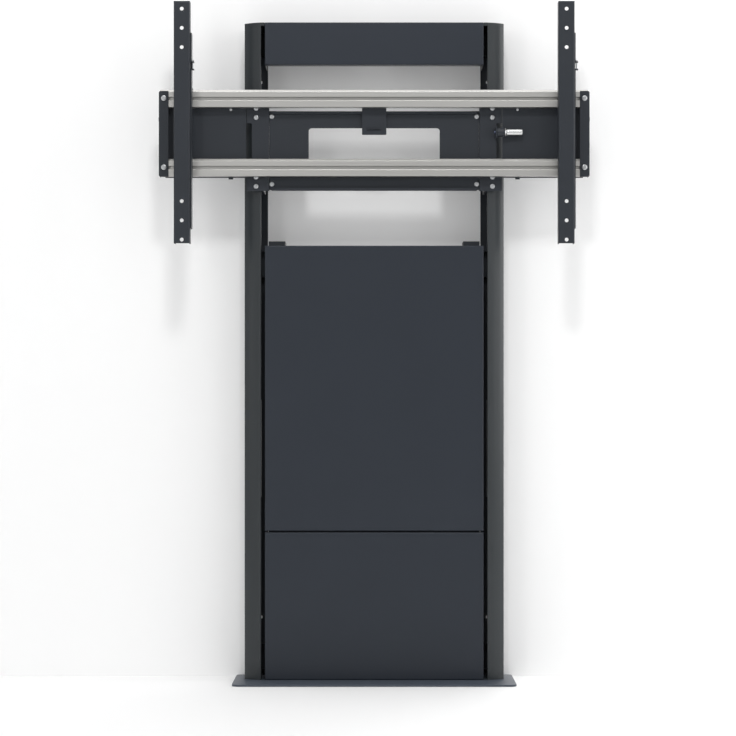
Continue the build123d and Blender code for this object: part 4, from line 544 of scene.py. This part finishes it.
class STAND_OT_lower_panel(Operator):
    """Makes the lower panel: a folded sheet with lips, and a folded stop behind the seam above it"""

    bl_idname = "stand.lower_panel"
    bl_label = "Lower panel"

    def execute(self, context):
        sizes = context.scene.stand_sizes
        patches = cover_skin("lower_panel", sizes)
        add_piece("panel_sheet", patches, ("lower_panel",), wall=sizes.sheet, edge=sizes.edge_break)
        x, depth, z = extent("lower_panel")
        side_gap, front_gap, reach, rise, thick, corner = 14.0, 10.0, 36.0, 12.0, 1.5, 0.3
        under = z[1] - sizes.sheet / MM
        front, back = depth[1] - front_gap, depth[1] - reach
        section = [
            (back, under - thick), (front, under - thick), (front, under), (back + thick, under),
            (back + thick, under + rise), (back, under + rise),
        ]
        stop = prism(rounded(section, corner, steps=3), 0, (x[0] + side_gap, x[1] - side_gap))
        add_piece("panel_stop", [stop], ("lower_panel",))
        return {"FINISHED"}


class STAND_OT_header_cover(Operator):
    """Makes the header: front, roof with a cable notch, sides and a lip below"""

    bl_idname = "stand.header_cover"
    bl_label = "Header cover"

    def execute(self, context):
        sizes = context.scene.stand_sizes
        bend = sizes.sheet_bend / MM
        x, depth, z = extent("header_cover")
        lip, notch_half, notch_depth, side_back = 30.0, 42.0, 45.0, 23.3
        lip_back = depth[1] - lip
        flat_x = (x[0] + bend, x[1] - bend)
        flat_z = (z[0] + bend, z[1] - bend)
        border, outward = border_of(flat_x, flat_z, top_breaks=(-notch_half, notch_half))
        back = [(bend, row) for row in (lip_back, notch_depth, side_back, depth[0])]
        profile = np.vstack((bend_rows(depth[1], bend), back))

        def keep(across, deep, height):
            below, above = height < flat_z[0], height > flat_z[1]
            past_lip = below & (deep < lip_back)
            past_side = ~below & ~above & (deep < side_back)
            in_notch = above & (abs(across) < notch_half) & (deep < notch_depth)
            return ~(past_lip | past_side | in_notch)

        patches = [folded(border, outward, profile, keep), flat_front(border, depth[1])]
        add_piece("header_sheet", patches, ("header_cover",), wall=sizes.sheet, edge=sizes.edge_break)
        return {"FINISHED"}


# Columns and base
def column_front(sizes, inner, outer, front, inset=0.0, steps=16):
    """Bowed front of a column, or a line drawn in by an inset behind it: points on a circle whose
    centre lies behind the middle of the chord by sqrt(radius ** 2 - (chord / 2) ** 2)."""
    fall, radius = sizes.column_fall / MM, sizes.column_bow / MM
    width = outer - inner
    chord = np.hypot(width, fall)
    back = np.sqrt(radius ** 2 - (chord / 2) ** 2)
    centre_x = (inner + outer) / 2 - back * fall / chord
    centre_depth = front - fall / 2 - back * width / chord
    x = np.linspace(inner + inset, outer - inset, steps)
    return np.column_stack((x, centre_depth + np.sqrt((radius - inset) ** 2 - (x - centre_x) ** 2)))


def column_reach(name):
    """How far a column's inner and outer side lie from the middle, and the depth of its front."""
    inner, outer = sorted(np.abs(extent(f"{name}_column_cover")[0]))
    return inner, outer, extent(f"{name}_column_cap")[1][1]


def column_skin(name, side, sizes):
    """Section of an extrusion that is open behind, carried up the column: a lip beside the groove, out
    along the bowed front, back along the side to a rear lip, and the same way home one wall further in."""
    lip, rear_lip, groove_edge, cut_edge = 12.0, 5.7, 2.0, 0.4
    wall = sizes.column_wall / MM
    _, (back, _), z = extent(f"{name}_column_cover")
    inner, outer, front = column_reach(name)
    skin = column_front(sizes, inner, outer, front)
    hollow = column_front(sizes, inner, outer, front, wall)[::-1]
    path = np.vstack((
        [(inner, front - lip)], skin, [(outer, back), (outer - rear_lip, back)],
        [(outer - rear_lip, back + wall), (outer - wall, back + wall)], hollow,
        [(inner + wall, front - lip)]))
    radii = np.zeros(len(path))
    radii[[0, 1, len(skin)]] = (cut_edge, groove_edge, sizes.column_edge / MM)
    radii[len(skin) + 1:len(skin) + 5] = cut_edge
    radii[-1] = cut_edge
    return prism(rounded(path, radii) * (side, 1), 2, z)


def column_cap(name, side, sizes):
    """Plate with rounded edges, as wide as its column and the groove beside it."""
    edge = 0.8
    x, depth, z = extent(f"{name}_column_cap")
    inner, outer, front = column_reach(name)

    def outline(inset):
        bowed = column_front(sizes, inner, outer, front, inset)
        groove, rear = min(np.abs(x)) + inset, depth[0] + inset
        corners = np.vstack(([(groove, rear), (groove, front - inset)], bowed, [(outer - inset, rear)]))
        rounds = np.zeros(len(corners))
        rounds[[0, 1, -1]] = edge
        rounds[-2] = sizes.column_edge / MM - inset
        return rounded(corners, rounds) * (side, 1)

    return slab(outline, z, edge)


class STAND_OT_columns(Operator):
    """Makes the column covers, open extrusions with a bowed front, and their caps"""

    bl_idname = "stand.columns"
    bl_label = "Columns and caps"

    def execute(self, context):
        sizes = context.scene.stand_sizes
        for name, side in SIDES.items():
            add_piece(f"{name}_column_skin", [column_skin(name, side, sizes)], (f"{name}_column_cover",))
            add_piece(f"{name}_cap_plate", [column_cap(name, side, sizes)], (f"{name}_column_cap",))
        return {"FINISHED"}


class STAND_OT_base_plate(Operator):
    """Makes the base plate: laser-cut steel with rounded corners, in a lighter coat that paints in light
    from above on its top
    """

    bl_idname = "stand.base_plate"
    bl_label = "Base plate"

    def execute(self, context):
        x, depth, z = extent("base_plate")
        rear_round, front_round, edge = 14.0, 18.0, 0.7

        def outline(inset):
            left, right = x[0] + inset, x[1] - inset
            back, front = depth[0] + inset, depth[1] - inset
            corners = ((left, back), (right, back), (right, front), (left, front))
            rounds = np.array((rear_round, rear_round, front_round, front_round)) - inset
            return rounded(corners, rounds, steps=16)

        plate = add_piece("base_steel", [slab(outline, z, edge)], ("base_plate",))
        # The base plate takes the lighter coat, which is painted light from above and not a paint of its
        # own
        plate.data.materials[0] = FINISHES["top_lit_base_coat"]
        return {"FINISHED"}


# Rails
def rail_section(depth, z):
    """Outline of a rail: a flat foot, a slot that widens behind its mouth on both faces, a bevel above
    the front and a groove in the top that the hooks hold."""
    lip, mouth, room, slot, bevel, top_bevel = 2.2, 3.7, 7.5, 8.0, 2.6, 6.0
    hook_back, hook_width, hook_sink = 4.3, 6.0, 6.0
    inside, foot, outer, crest, lower_lip, upper_lip = 0.25, 0.6, 0.8, 1.0, 0.4, 0.5
    (back, front), (low, high) = depth, z
    middle = (low + high) / 2
    neck = front - 2 * lip
    deep = front - lip - slot
    hook = (back + hook_back, back + hook_back + hook_width)
    rows = np.array([
        (back, low, foot), (front, low, outer), (front, middle - mouth - bevel, outer),
        (front - lip, middle - mouth, lower_lip), (neck, middle - mouth, inside),
        (neck, middle - room, inside), (deep, middle - room, inside),
        (deep, middle + room, inside), (neck, middle + room, inside),
        (neck, middle + mouth, inside), (front, middle + mouth, upper_lip),
        (front, high - top_bevel, crest), (front - top_bevel, high, outer),
        (hook[1], high, inside), (hook[1], high - hook_sink, inside),
        (hook[0], high - hook_sink, inside), (hook[0], high, inside),
        (back, high, inside), (back, middle + mouth, inside), (back + lip, middle + mouth, inside),
        (back + lip, middle + room, inside), (back + slot, middle + room, inside),
        (back + slot, middle - room, inside), (back + lip, middle - room, inside),
        (back + lip, middle - mouth, inside), (back, middle - mouth, inside),
    ])
    return rounded(rows[:, :2], rows[:, 2], steps=4)


class STAND_OT_rails(Operator):
    """Makes the two slotted rails from their section, with broken corners"""

    bl_idname = "stand.rails"
    bl_label = "Slotted rails"

    def execute(self, context):
        for name in ("upper_rail", "lower_rail"):
            x, depth, z = extent(name)
            add_piece(f"{name}_profile", [prism(rail_section(depth, z), 0, x)], (name,))
        return {"FINISHED"}


# Display strips
def strip_face(middle, columns, heights, depth, cells):
    """Flat front of a strip: quads between its columns and heights, but cells with a round hole where
    they are given, each as its height, half its height and the hole's radius."""
    across, up = np.meshgrid(columns, heights)
    face = np.stack((across, np.full(across.shape, depth), up), axis=-1).reshape(-1, 3)
    quads = grid(len(heights), len(columns))
    centre = face[quads].mean(axis=2)
    half_width = middle - columns[1]
    near = np.zeros(centre.shape[:2], bool)
    for height, half, _ in cells:
        near |= (abs(centre[..., 2] - height) < half) & (abs(centre[..., 0] - middle) < half_width)
    patches = [(face, quads[~near].reshape(-1, 4).tolist())]
    for height, half, radius in cells:
        patches.append(holed_cell((middle, height), (half_width, half), radius, depth))
    return patches


def strip_fold(columns, heights, depth, bend):
    """Sides and top of a strip, bent back from the border of its front. Its foot stays open."""
    left = [(columns[0], height) for height in heights]
    top = [(place, heights[-1]) for place in columns[1:-1]]
    right = [(columns[-1], height) for height in heights[::-1]]
    border = np.array(left + top + right)
    sideways = np.repeat((-1.0, 0.0, 1.0), (len(left), len(top), len(right)))
    upwards = np.where(border[:, 1] == heights[-1], 1.0, 0.0)
    profile = np.vstack((bend_rows(depth[1], bend), [(bend, depth[0])]))
    return folded(border, np.stack((sideways, upwards), axis=-1), profile, closed=False)


class STAND_OT_display_strips(Operator):
    """Makes the display strips: sheet folded at both sides and on top, with holes and a mark"""

    bl_idname = "stand.display_strips"
    bl_label = "Display strips"

    def execute(self, context):
        sizes = context.scene.stand_sizes
        bend, sheet = sizes.strip_bend / MM, sizes.strip_sheet / MM
        half_width, edge, hole_r, cell, pitch, first_low, first_high = 21.0, 0.5, 5.0, 7.5, 50, 9.5, 20.5
        mark_r, mark_cell, mark_sink, mark_below_top = 2.0, 2.6, 1.2, 10.0
        rows = pitch * np.arange(3)
        for name in SIDES:
            x, depth, z = extent(f"{name}_strip")
            middle = x[0] + half_width
            holes = [*(z[0] + first_low + rows), *(z[1] - first_high - rows)]
            mark = z[1] - mark_below_top
            cells = [(hole, cell, hole_r) for hole in holes] + [(mark, mark_cell, mark_r)]
            breaks = [height + shift for height, half, _ in cells for shift in (-half, half)]
            heights = np.array(sorted([z[0], z[1] - bend] + breaks))
            flat = half_width - bend
            columns = middle + np.array([-flat, -cell, cell, flat])
            patches = strip_face(middle, columns, heights, depth[1], cells)
            patches.append(strip_fold(columns, heights, depth, bend))
            add_piece(f"{name}_strip_sheet", patches, (f"{name}_strip",),
                      wall=sizes.strip_sheet, edge=edge * MM)
            floor = turned([(mark_r, -sheet), (mark_r, -mark_sink)], 1, (middle, depth[1], mark))
            add_piece(f"{name}_strip_mark", [floor], (f"{name}_strip",))
        return {"FINISHED"}


# Screws and turned pieces
def button_head(radius, height, socket, sink):
    """Rows of a button head, (radius, height): a short cylinder, then an elliptic dome to 0.55 of the
    radius, and the rows of its socket."""
    rim, crown, bevel, taper = 0.18 * height, 0.55 * radius, 0.2, 0.96
    angle = np.radians(np.linspace(0, 90, 7))
    across = crown + (radius - crown) * np.cos(angle)
    rise = rim + (height - rim) * np.sin(angle)
    hexagon = [(socket, height), (socket * taper, height - bevel), (socket * taper, height - sink)]
    return np.vstack(([(radius, 0)], np.stack((across, rise), axis=-1))), hexagon


def fitted(solids, axis, head, socket, shank):
    """The same screw in the place of each solid: its head's top is level with the solid's, and its
    shank, a bar with a broken end, reaches as far as the solid does."""
    top, end_break, shortest = socket[0][1], 0.4, 1.0
    screws = []
    for low, high in solids:
        origin = (low + high) / 2
        sign = -1 if axis == 0 and origin[0] < 0 else 1
        reach = high[axis] - low[axis] - top
        origin[axis] = (high[axis] if sign > 0 else low[axis]) - sign * top
        bar = [(shank - end_break, -reach), (shank, end_break - reach), (shank, 0)]
        rows = np.vstack((bar, head)) if reach > shortest else head
        screws.append(turned(rows, axis, origin, sign, socket))
    return screws


class STAND_OT_screws(Operator):
    """Makes the screws that show: button heads, flange heads, cap screws and small screws"""

    bl_idname = "stand.screws"
    bl_label = "Screws that show"

    def execute(self, context):
        head, socket = button_head(radius=6.5, height=3.5, socket=2.3, sink=2.2)
        screws = fitted(solids_of("frame_screws"), 1, head, socket, shank=3.0)
        add_piece("frame_screw_heads", screws, ("frame_screws",))
        head, socket = button_head(radius=3.5, height=1.6, socket=1.3, sink=1.2)
        screws = fitted(solids_of("wing_screws"), 1, head, socket, shank=1.5)
        add_piece("wing_screw_heads", screws, ("wing_screws",))

        # The other heads are rows of radius and height that follow the edge of the real head
        flush_head = [(2.7, -1.6), (2.9, -0.3), (2.7, 0)]
        flush_socket = [(1.6, 0), (1.5, -1.2)]
        screws = fitted(solids_of("cap_screws"), 2, flush_head, flush_socket, shank=1.7)
        add_piece("cap_screw_heads", screws, ("cap_screws",))

        thin = 3.0
        solids = solids_of("end_screws")
        thick_heads = [solid for solid in solids if solid[1][0] - solid[0][0] > thin]
        thin_heads = [solid for solid in solids if solid[1][0] - solid[0][0] <= thin]
        flange = [
            (6.4, 0), (7.0, 0.5), (7.0, 1.1), (6.4, 1.6), (5.3, 1.7), (5.2, 2.4), (5.2, 5.1), (4.7, 5.6)]
        flange_socket = [(2.6, 5.6), (2.5, 5.4), (2.5, 3.0)]
        screws = fitted(thick_heads, 1, flange, flange_socket, shank=3.0)
        add_piece("end_screw_heads", screws, ("end_screws",))
        low_head = [(6.8, 0), (7.0, 0.3), (7.0, 1.1), (6.3, 1.6)]
        low_socket = [(2.3, 1.6), (2.2, 0.3)]
        screws = fitted(thin_heads, 0, low_head, low_socket, shank=3.0)
        add_piece("end_side_caps", screws, ("end_screws",), slot="frame_coat")
        return {"FINISHED"}


class STAND_OT_plunger(Operator):
    """Turns the pull knob with its stem, and the housing on the bracket"""

    bl_idname = "stand.plunger"
    bl_label = "Locking plunger"

    def execute(self, context):
        x, depth, z = extent("locking_plunger")
        origin = (0, sum(depth) / 2, sum(z) / 2)
        stem, stem_r, stem_break, knob_r, flare_r = 28.5, 5.0, 1.2, 8.75, (z[1] - z[0]) / 2
        start, end = x[0] + stem, x[1]
        pin = [(stem_r - stem_break, x[0]), (stem_r, x[0] + stem_break), (stem_r, start)]
        turned_pin = turned(pin, 0, origin, steps=48)
        add_piece("plunger_pin", [turned_pin], ("locking_plunger",), slot="spring_clip")

        flare_edge, flare_taper, cone_r, cone, throat_r, throat, neck = 0.8, 0.1, 11.3, 4.0, 10.6, 5.0, 6.0
        ring, ring_width, ring_sink, ring_slope = 7.2, 1.4, 0.4, 0.3
        end_round, end_cut, dimple_r = 1.5, 0.45, 2.0
        knob = [
            (stem_r, start), (flare_r - flare_edge, start), (flare_r, start + flare_edge),
            (flare_r - flare_taper, start + 2 * flare_edge), (cone_r, start + cone),
            (throat_r, start + throat), (knob_r, start + neck),
            (knob_r, end - ring), (knob_r - ring_sink, end - ring + ring_slope),
            (knob_r - ring_sink, end - ring + ring_width - ring_slope), (knob_r, end - ring + ring_width),
            (knob_r, end - end_round), (knob_r - end_cut, end - end_cut),
            (knob_r - end_round, end), (dimple_r, end),
        ]
        add_piece("plunger_turned", [turned(knob, 0, origin, steps=48)], ("locking_plunger",))

        house_x, _, house_z = extent("plunger_housing")
        house_r, bore, rear_break, front_break = (house_z[1] - house_z[0]) / 2, 5.1, 0.8, 1.2
        housing = [
            (bore, house_x[0]), (house_r - rear_break, house_x[0]), (house_r, house_x[0] + rear_break),
            (house_r, house_x[1] - front_break), (house_r - front_break, house_x[1]), (bore, house_x[1]),
        ]
        add_piece("plunger_socket", [turned(housing, 0, origin, steps=48)], ("plunger_housing",))
        return {"FINISHED"}


def thread(spindle_x, z, steps=30):
    """Radius and height of each row of a threaded bar with a plain journal below. Along a turn the
    phase is starts (height / lead - turn), less its whole part. The radius rises from root to crest by
    the share 2.2 - 6.5 |phase - 0.5|, held between nought and one."""
    lead, starts, sink, row_step, crest, flank = 20.0, 5, 1.8, 0.8, 2.2, 6.5
    journal, journal_r, core_r, foot_r, foot_break, tip_break, tip_sink = 40.0, 5.0, 0.5, 3.0, 0.6, 1.2, 3.0
    outer = (spindle_x[1] - spindle_x[0]) / 2
    turn = np.linspace(0, 1, steps, endpoint=False)
    heights = np.arange(z[0] + journal, z[1] - tip_break, row_step)
    phase = (starts * (heights[:, None] / lead - turn)) % 1
    share = np.clip(crest - abs(phase - 0.5) * flank, 0, 1)
    foot = [(foot_r, z[0]), (journal_r, z[0] + foot_break), (journal_r, z[0] + journal)]
    tip = [(outer - sink, z[1] - tip_break), (outer - tip_sink, z[1]), (core_r, z[1])]
    ends = np.array(foot + tip)
    plain = np.repeat(ends[:, :1], steps, axis=1)
    radius = np.vstack((plain[:len(foot)], outer - sink * (1 - share), plain[len(foot):]))
    return radius, np.concatenate((ends[:len(foot), 1], heights, ends[len(foot):, 1]))


class STAND_OT_spindles(Operator):
    """Cuts the spindles' thread: five starts and a lead of 20 mm"""

    bl_idname = "stand.spindles"
    bl_label = "Threaded spindles"

    def execute(self, context):
        for name in SIDES:
            x, depth, z = extent(f"{name}_spindle")
            radius, heights = thread(x, z)
            angle = np.linspace(0, 2 * np.pi, radius.shape[1], endpoint=False)
            loops = np.empty(radius.shape + (3,))
            loops[..., 0] = sum(x) / 2 + radius * np.cos(angle)
            loops[..., 1] = sum(depth) / 2 + radius * np.sin(angle)
            loops[..., 2] = heights[:, None]
            add_piece(f"{name}_spindle_thread", [loft(loops)], (f"{name}_spindle",), angle=60)
        return {"FINISHED"}


# Pieces that keep the shape of their node, with broken edges
class STAND_OT_carriage(Operator):
    """Finishes the lift carriage: sides, brackets, pan, wings, end plates, carriers"""

    bl_idname = "stand.carriage"
    bl_label = "Lift carriage"

    def execute(self, context):
        cut_edge = 0.5 * MM
        parts = ("carriage_side", "lift_bracket", "wing_plate", "end_plate", "hook_carrier")
        paired = [f"{name}_{part}" for name in SIDES for part in parts]
        for node in paired + ["centre_pan", "centre_bracket"]:
            dressed_copy(node, cut_edge)
        return {"FINISHED"}


class STAND_OT_inner_frame(Operator):
    """Finishes the uprights, crossmembers, posts, plate and their screws"""

    bl_idname = "stand.inner_frame"
    bl_label = "Inner frame"

    def execute(self, context):
        paired = [f"{name}_{part}" for name in SIDES for part in ("upright", "inner_post", "level_screw")]
        single = ["bottom_crossmember", "middle_crossmember", "top_crossmember", "base_screws"]
        for node in paired + single:
            dressed_copy(node)
        dressed_copy("equipment_plate", slot="frame_coat")
        dressed_copy("structure_screws", slot="spring_clip")
        return {"FINISHED"}


class STAND_OT_door_hardware(Operator):
    """Finishes the hinges, pins, magnets, strikes and panel clips"""

    bl_idname = "stand.door_hardware"
    bl_label = "Door hardware"

    def execute(self, context):
        small_edge = 0.25 * MM
        for node in ("hinge_frame_leaves", "hinge_door_leaves", "hinge_pins", "door_magnets",
                     "door_strikes", "panel_clips"):
            dressed_copy(node, small_edge)
        return {"FINISHED"}


class STAND_OT_drives(Operator):
    """Finishes the motors, guides, bearings, nuts, switches and electrical boxes"""

    bl_idname = "stand.drives"
    bl_label = "Drives and boxes"

    def execute(self, context):
        paired = [f"{name}_{part}" for name in SIDES for part in ("motor", "guide_rail")]
        single = ["guide_blocks", "spindle_bearings", "spindle_nuts", "limit_switches",
                  "control_box", "power_supply"]
        for node in paired + single:
            dressed_copy(node)
        return {"FINISHED"}


# Stage
def stage_finish(name, colour, glow=0.0):
    """Matt pale paint with a grain of about 4 mm. With a glow it is a backdrop's: to the camera and in
    reflections it shines by that share of white, and it is clear from behind."""
    material, tree, shader = new_finish(name, Roughness=0.8, Base_Color=(*colour, 1))
    place = add_node(tree, "ShaderNodeTexCoord").outputs["Object"]
    grain_size = 4 * MM
    grain = add_node(tree, "ShaderNodeTexNoise", {"Vector": place, "Scale": 1 / grain_size, "Detail": 2})
    bump = add_node(tree, "ShaderNodeBump", {
        "Height": grain.outputs["Fac"], "Strength": 0.05, "Distance": 0.1 * MM})
    tree.links.new(bump.outputs["Normal"], shader.inputs["Normal"])
    if glow:
        path = add_node(tree, "ShaderNodeLightPath")
        seen = path.outputs["Is Camera Ray"]
        for ray in ("Is Glossy Ray", "Is Transmission Ray"):
            either = add_node(tree, "ShaderNodeMath", {0: seen, 1: path.outputs[ray]}, operation="MAXIMUM")
            seen = either.outputs[0]
        share = add_node(tree, "ShaderNodeMath", {0: seen, 1: glow}, operation="MULTIPLY")
        light = add_node(tree, "ShaderNodeEmission", {"Color": (1, 1, 1, 1), "Strength": share.outputs[0]})
        lit = add_node(tree, "ShaderNodeAddShader", {0: shader.outputs[0], 1: light.outputs[0]})
        clear = add_node(tree, "ShaderNodeBsdfTransparent")
        facing = add_node(tree, "ShaderNodeNewGeometry")
        surface = add_node(tree, "ShaderNodeMixShader", {
            0: facing.outputs["Backfacing"], 1: lit.outputs[0], 2: clear.outputs[0]})
        tree.links.new(surface.outputs[0], tree.nodes["Material Output"].inputs["Surface"])
    return material


def stage_sheet(name, corners, material):
    """Flat sheet of the stage from its four corners in metres."""
    mesh = bpy.data.meshes.new(name)
    mesh.from_pydata(corners, [], [(0, 1, 2, 3)])
    mesh.materials.append(material)
    sheet = bpy.data.objects.new(name, mesh)
    bpy.context.scene.collection.objects.link(sheet)
    return sheet


def soft_light(name, place, aim, size, power):
    """Rectangular area light at a place, turned towards a point."""
    lamp = bpy.data.lights.new(name, "AREA")
    lamp.shape = "RECTANGLE"
    lamp.size, lamp.size_y = size
    lamp.energy = power
    light = bpy.data.objects.new(name, lamp)
    bpy.context.scene.collection.objects.link(light)
    light.location = place
    light.rotation_euler = (Vector(aim) - Vector(place)).to_track_quat("-Z", "Y").to_euler()
    return light


class STAND_OT_stage(Operator):
    """Sets the floor, the backdrop, soft lights and the camera"""

    bl_idname = "stand.stage"
    bl_label = "Stage, lights and camera"

    def execute(self, context):
        scene = context.scene
        colour = scene.stand_colours.stage
        half, far, height, floor_gap, wall_gap = 6.0, 8.0, 6.0, 0.4 * MM, 0.6 * MM
        ground = -floor_gap
        wall_y = WALL * MM + wall_gap
        floor = [(-half, -far, ground), (half, -far, ground), (half, far, ground), (-half, far, ground)]
        wall = [(-half, wall_y, ground), (half, wall_y, ground),
                (half, wall_y, height), (-half, wall_y, height)]
        stage_sheet("floor", floor, stage_finish("pale_floor_paint", colour))
        backdrop = stage_sheet("backdrop", wall, stage_finish("pale_wall_paint", colour, glow=0.1))
        backdrop.visible_shadow = False

        world = bpy.data.worlds.new("soft_room")
        world.use_nodes = True
        background = world.node_tree.nodes["Background"]
        background.inputs["Color"].default_value = (1, 1, 1, 1)
        background.inputs["Strength"].default_value = 0.56
        scene.world = world

        # Name, place, aim, width and height of each light in metres, and its power in watts
        for light in (
                ("key", (0.0, -3.0, 3.9), (0, 0, 1.3), (0.5, 0.5), 42),
                ("overhead", (0.0, -0.5, 4.2), (0, -0.3, 1.2), (3.0, 1.4), 26),
                ("right_wrap", (3.2, -0.3, 1.8), (0.3, -0.1, 1.1), (1.0, 2.6), 28),
                ("right_side", (3.0, -1.7, 1.8), (0.3, 0, 1.1), (1.2, 2.6), 12),
                ("right_front", (2.4, -3.4, 1.8), (0, 0, 1.1), (1.0, 2.0), 6),
                ("left_side", (-3.0, -1.7, 1.8), (-0.3, 0, 1.1), (1.4, 2.6), 5),
                ("left_front", (-1.9, -3.8, 1.6), (0, 0, 1.1), (0.5, 2.4), 10),
                ("rear_fill", (1.0, 4.2, 1.7), (0, 0, 0.9), (3.0, 2.2), 80)):
            soft_light(*light)

        camera_data = bpy.data.cameras.new("camera")
        camera_data.sensor_width = 36.0
        camera_data.lens = 118.26
        camera_data.shift_x = -0.0084
        camera_data.shift_y = 0.0588
        camera = bpy.data.objects.new("camera", camera_data)
        camera.location = (0, -6.391, 0.714)
        camera.rotation_euler = (radians(90), 0, 0)
        scene.collection.objects.link(camera)
        scene.camera = camera
        scene.view_settings.view_transform = "Standard"
        return {"FINISHED"}


STEPS = (
    STAND_OT_base_plate, STAND_OT_columns, STAND_OT_header_cover, STAND_OT_service_door,
    STAND_OT_lower_panel, STAND_OT_rails, STAND_OT_display_strips, STAND_OT_carriage,
    STAND_OT_screws, STAND_OT_plunger, STAND_OT_spindles, STAND_OT_inner_frame,
    STAND_OT_door_hardware, STAND_OT_drives, STAND_OT_stage,
)


class STAND_PT_sidebar(Panel):
    """Lists the sizes, the colours and the steps"""

    bl_idname = "STAND_PT_sidebar"
    bl_label = "Display stand"
    bl_space_type = "VIEW_3D"
    bl_region_type = "UI"
    bl_category = "Stand"

    def draw(self, context):
        for group in (context.scene.stand_sizes, context.scene.stand_colours):
            for key in group.__annotations__:
                self.layout.prop(group, key)
        for step in STEPS:
            self.layout.operator(step.bl_idname)


CLASSES = (StandSizes, StandColours, *STEPS, STAND_PT_sidebar)


def register():
    for cls in CLASSES:
        bpy.utils.register_class(cls)
    bpy.types.Scene.stand_sizes = PointerProperty(type=StandSizes)
    bpy.types.Scene.stand_colours = PointerProperty(type=StandColours)


def unregister():
    del bpy.types.Scene.stand_colours
    del bpy.types.Scene.stand_sizes
    for cls in reversed(CLASSES):
        bpy.utils.unregister_class(cls)


def main():
    register()
    make_finishes(bpy.context.scene.stand_colours)
    for step in STEPS:
        group, name = step.bl_idname.split(".")
        getattr(getattr(bpy.ops, group), name)()


if __name__ == "__main__":
    main()
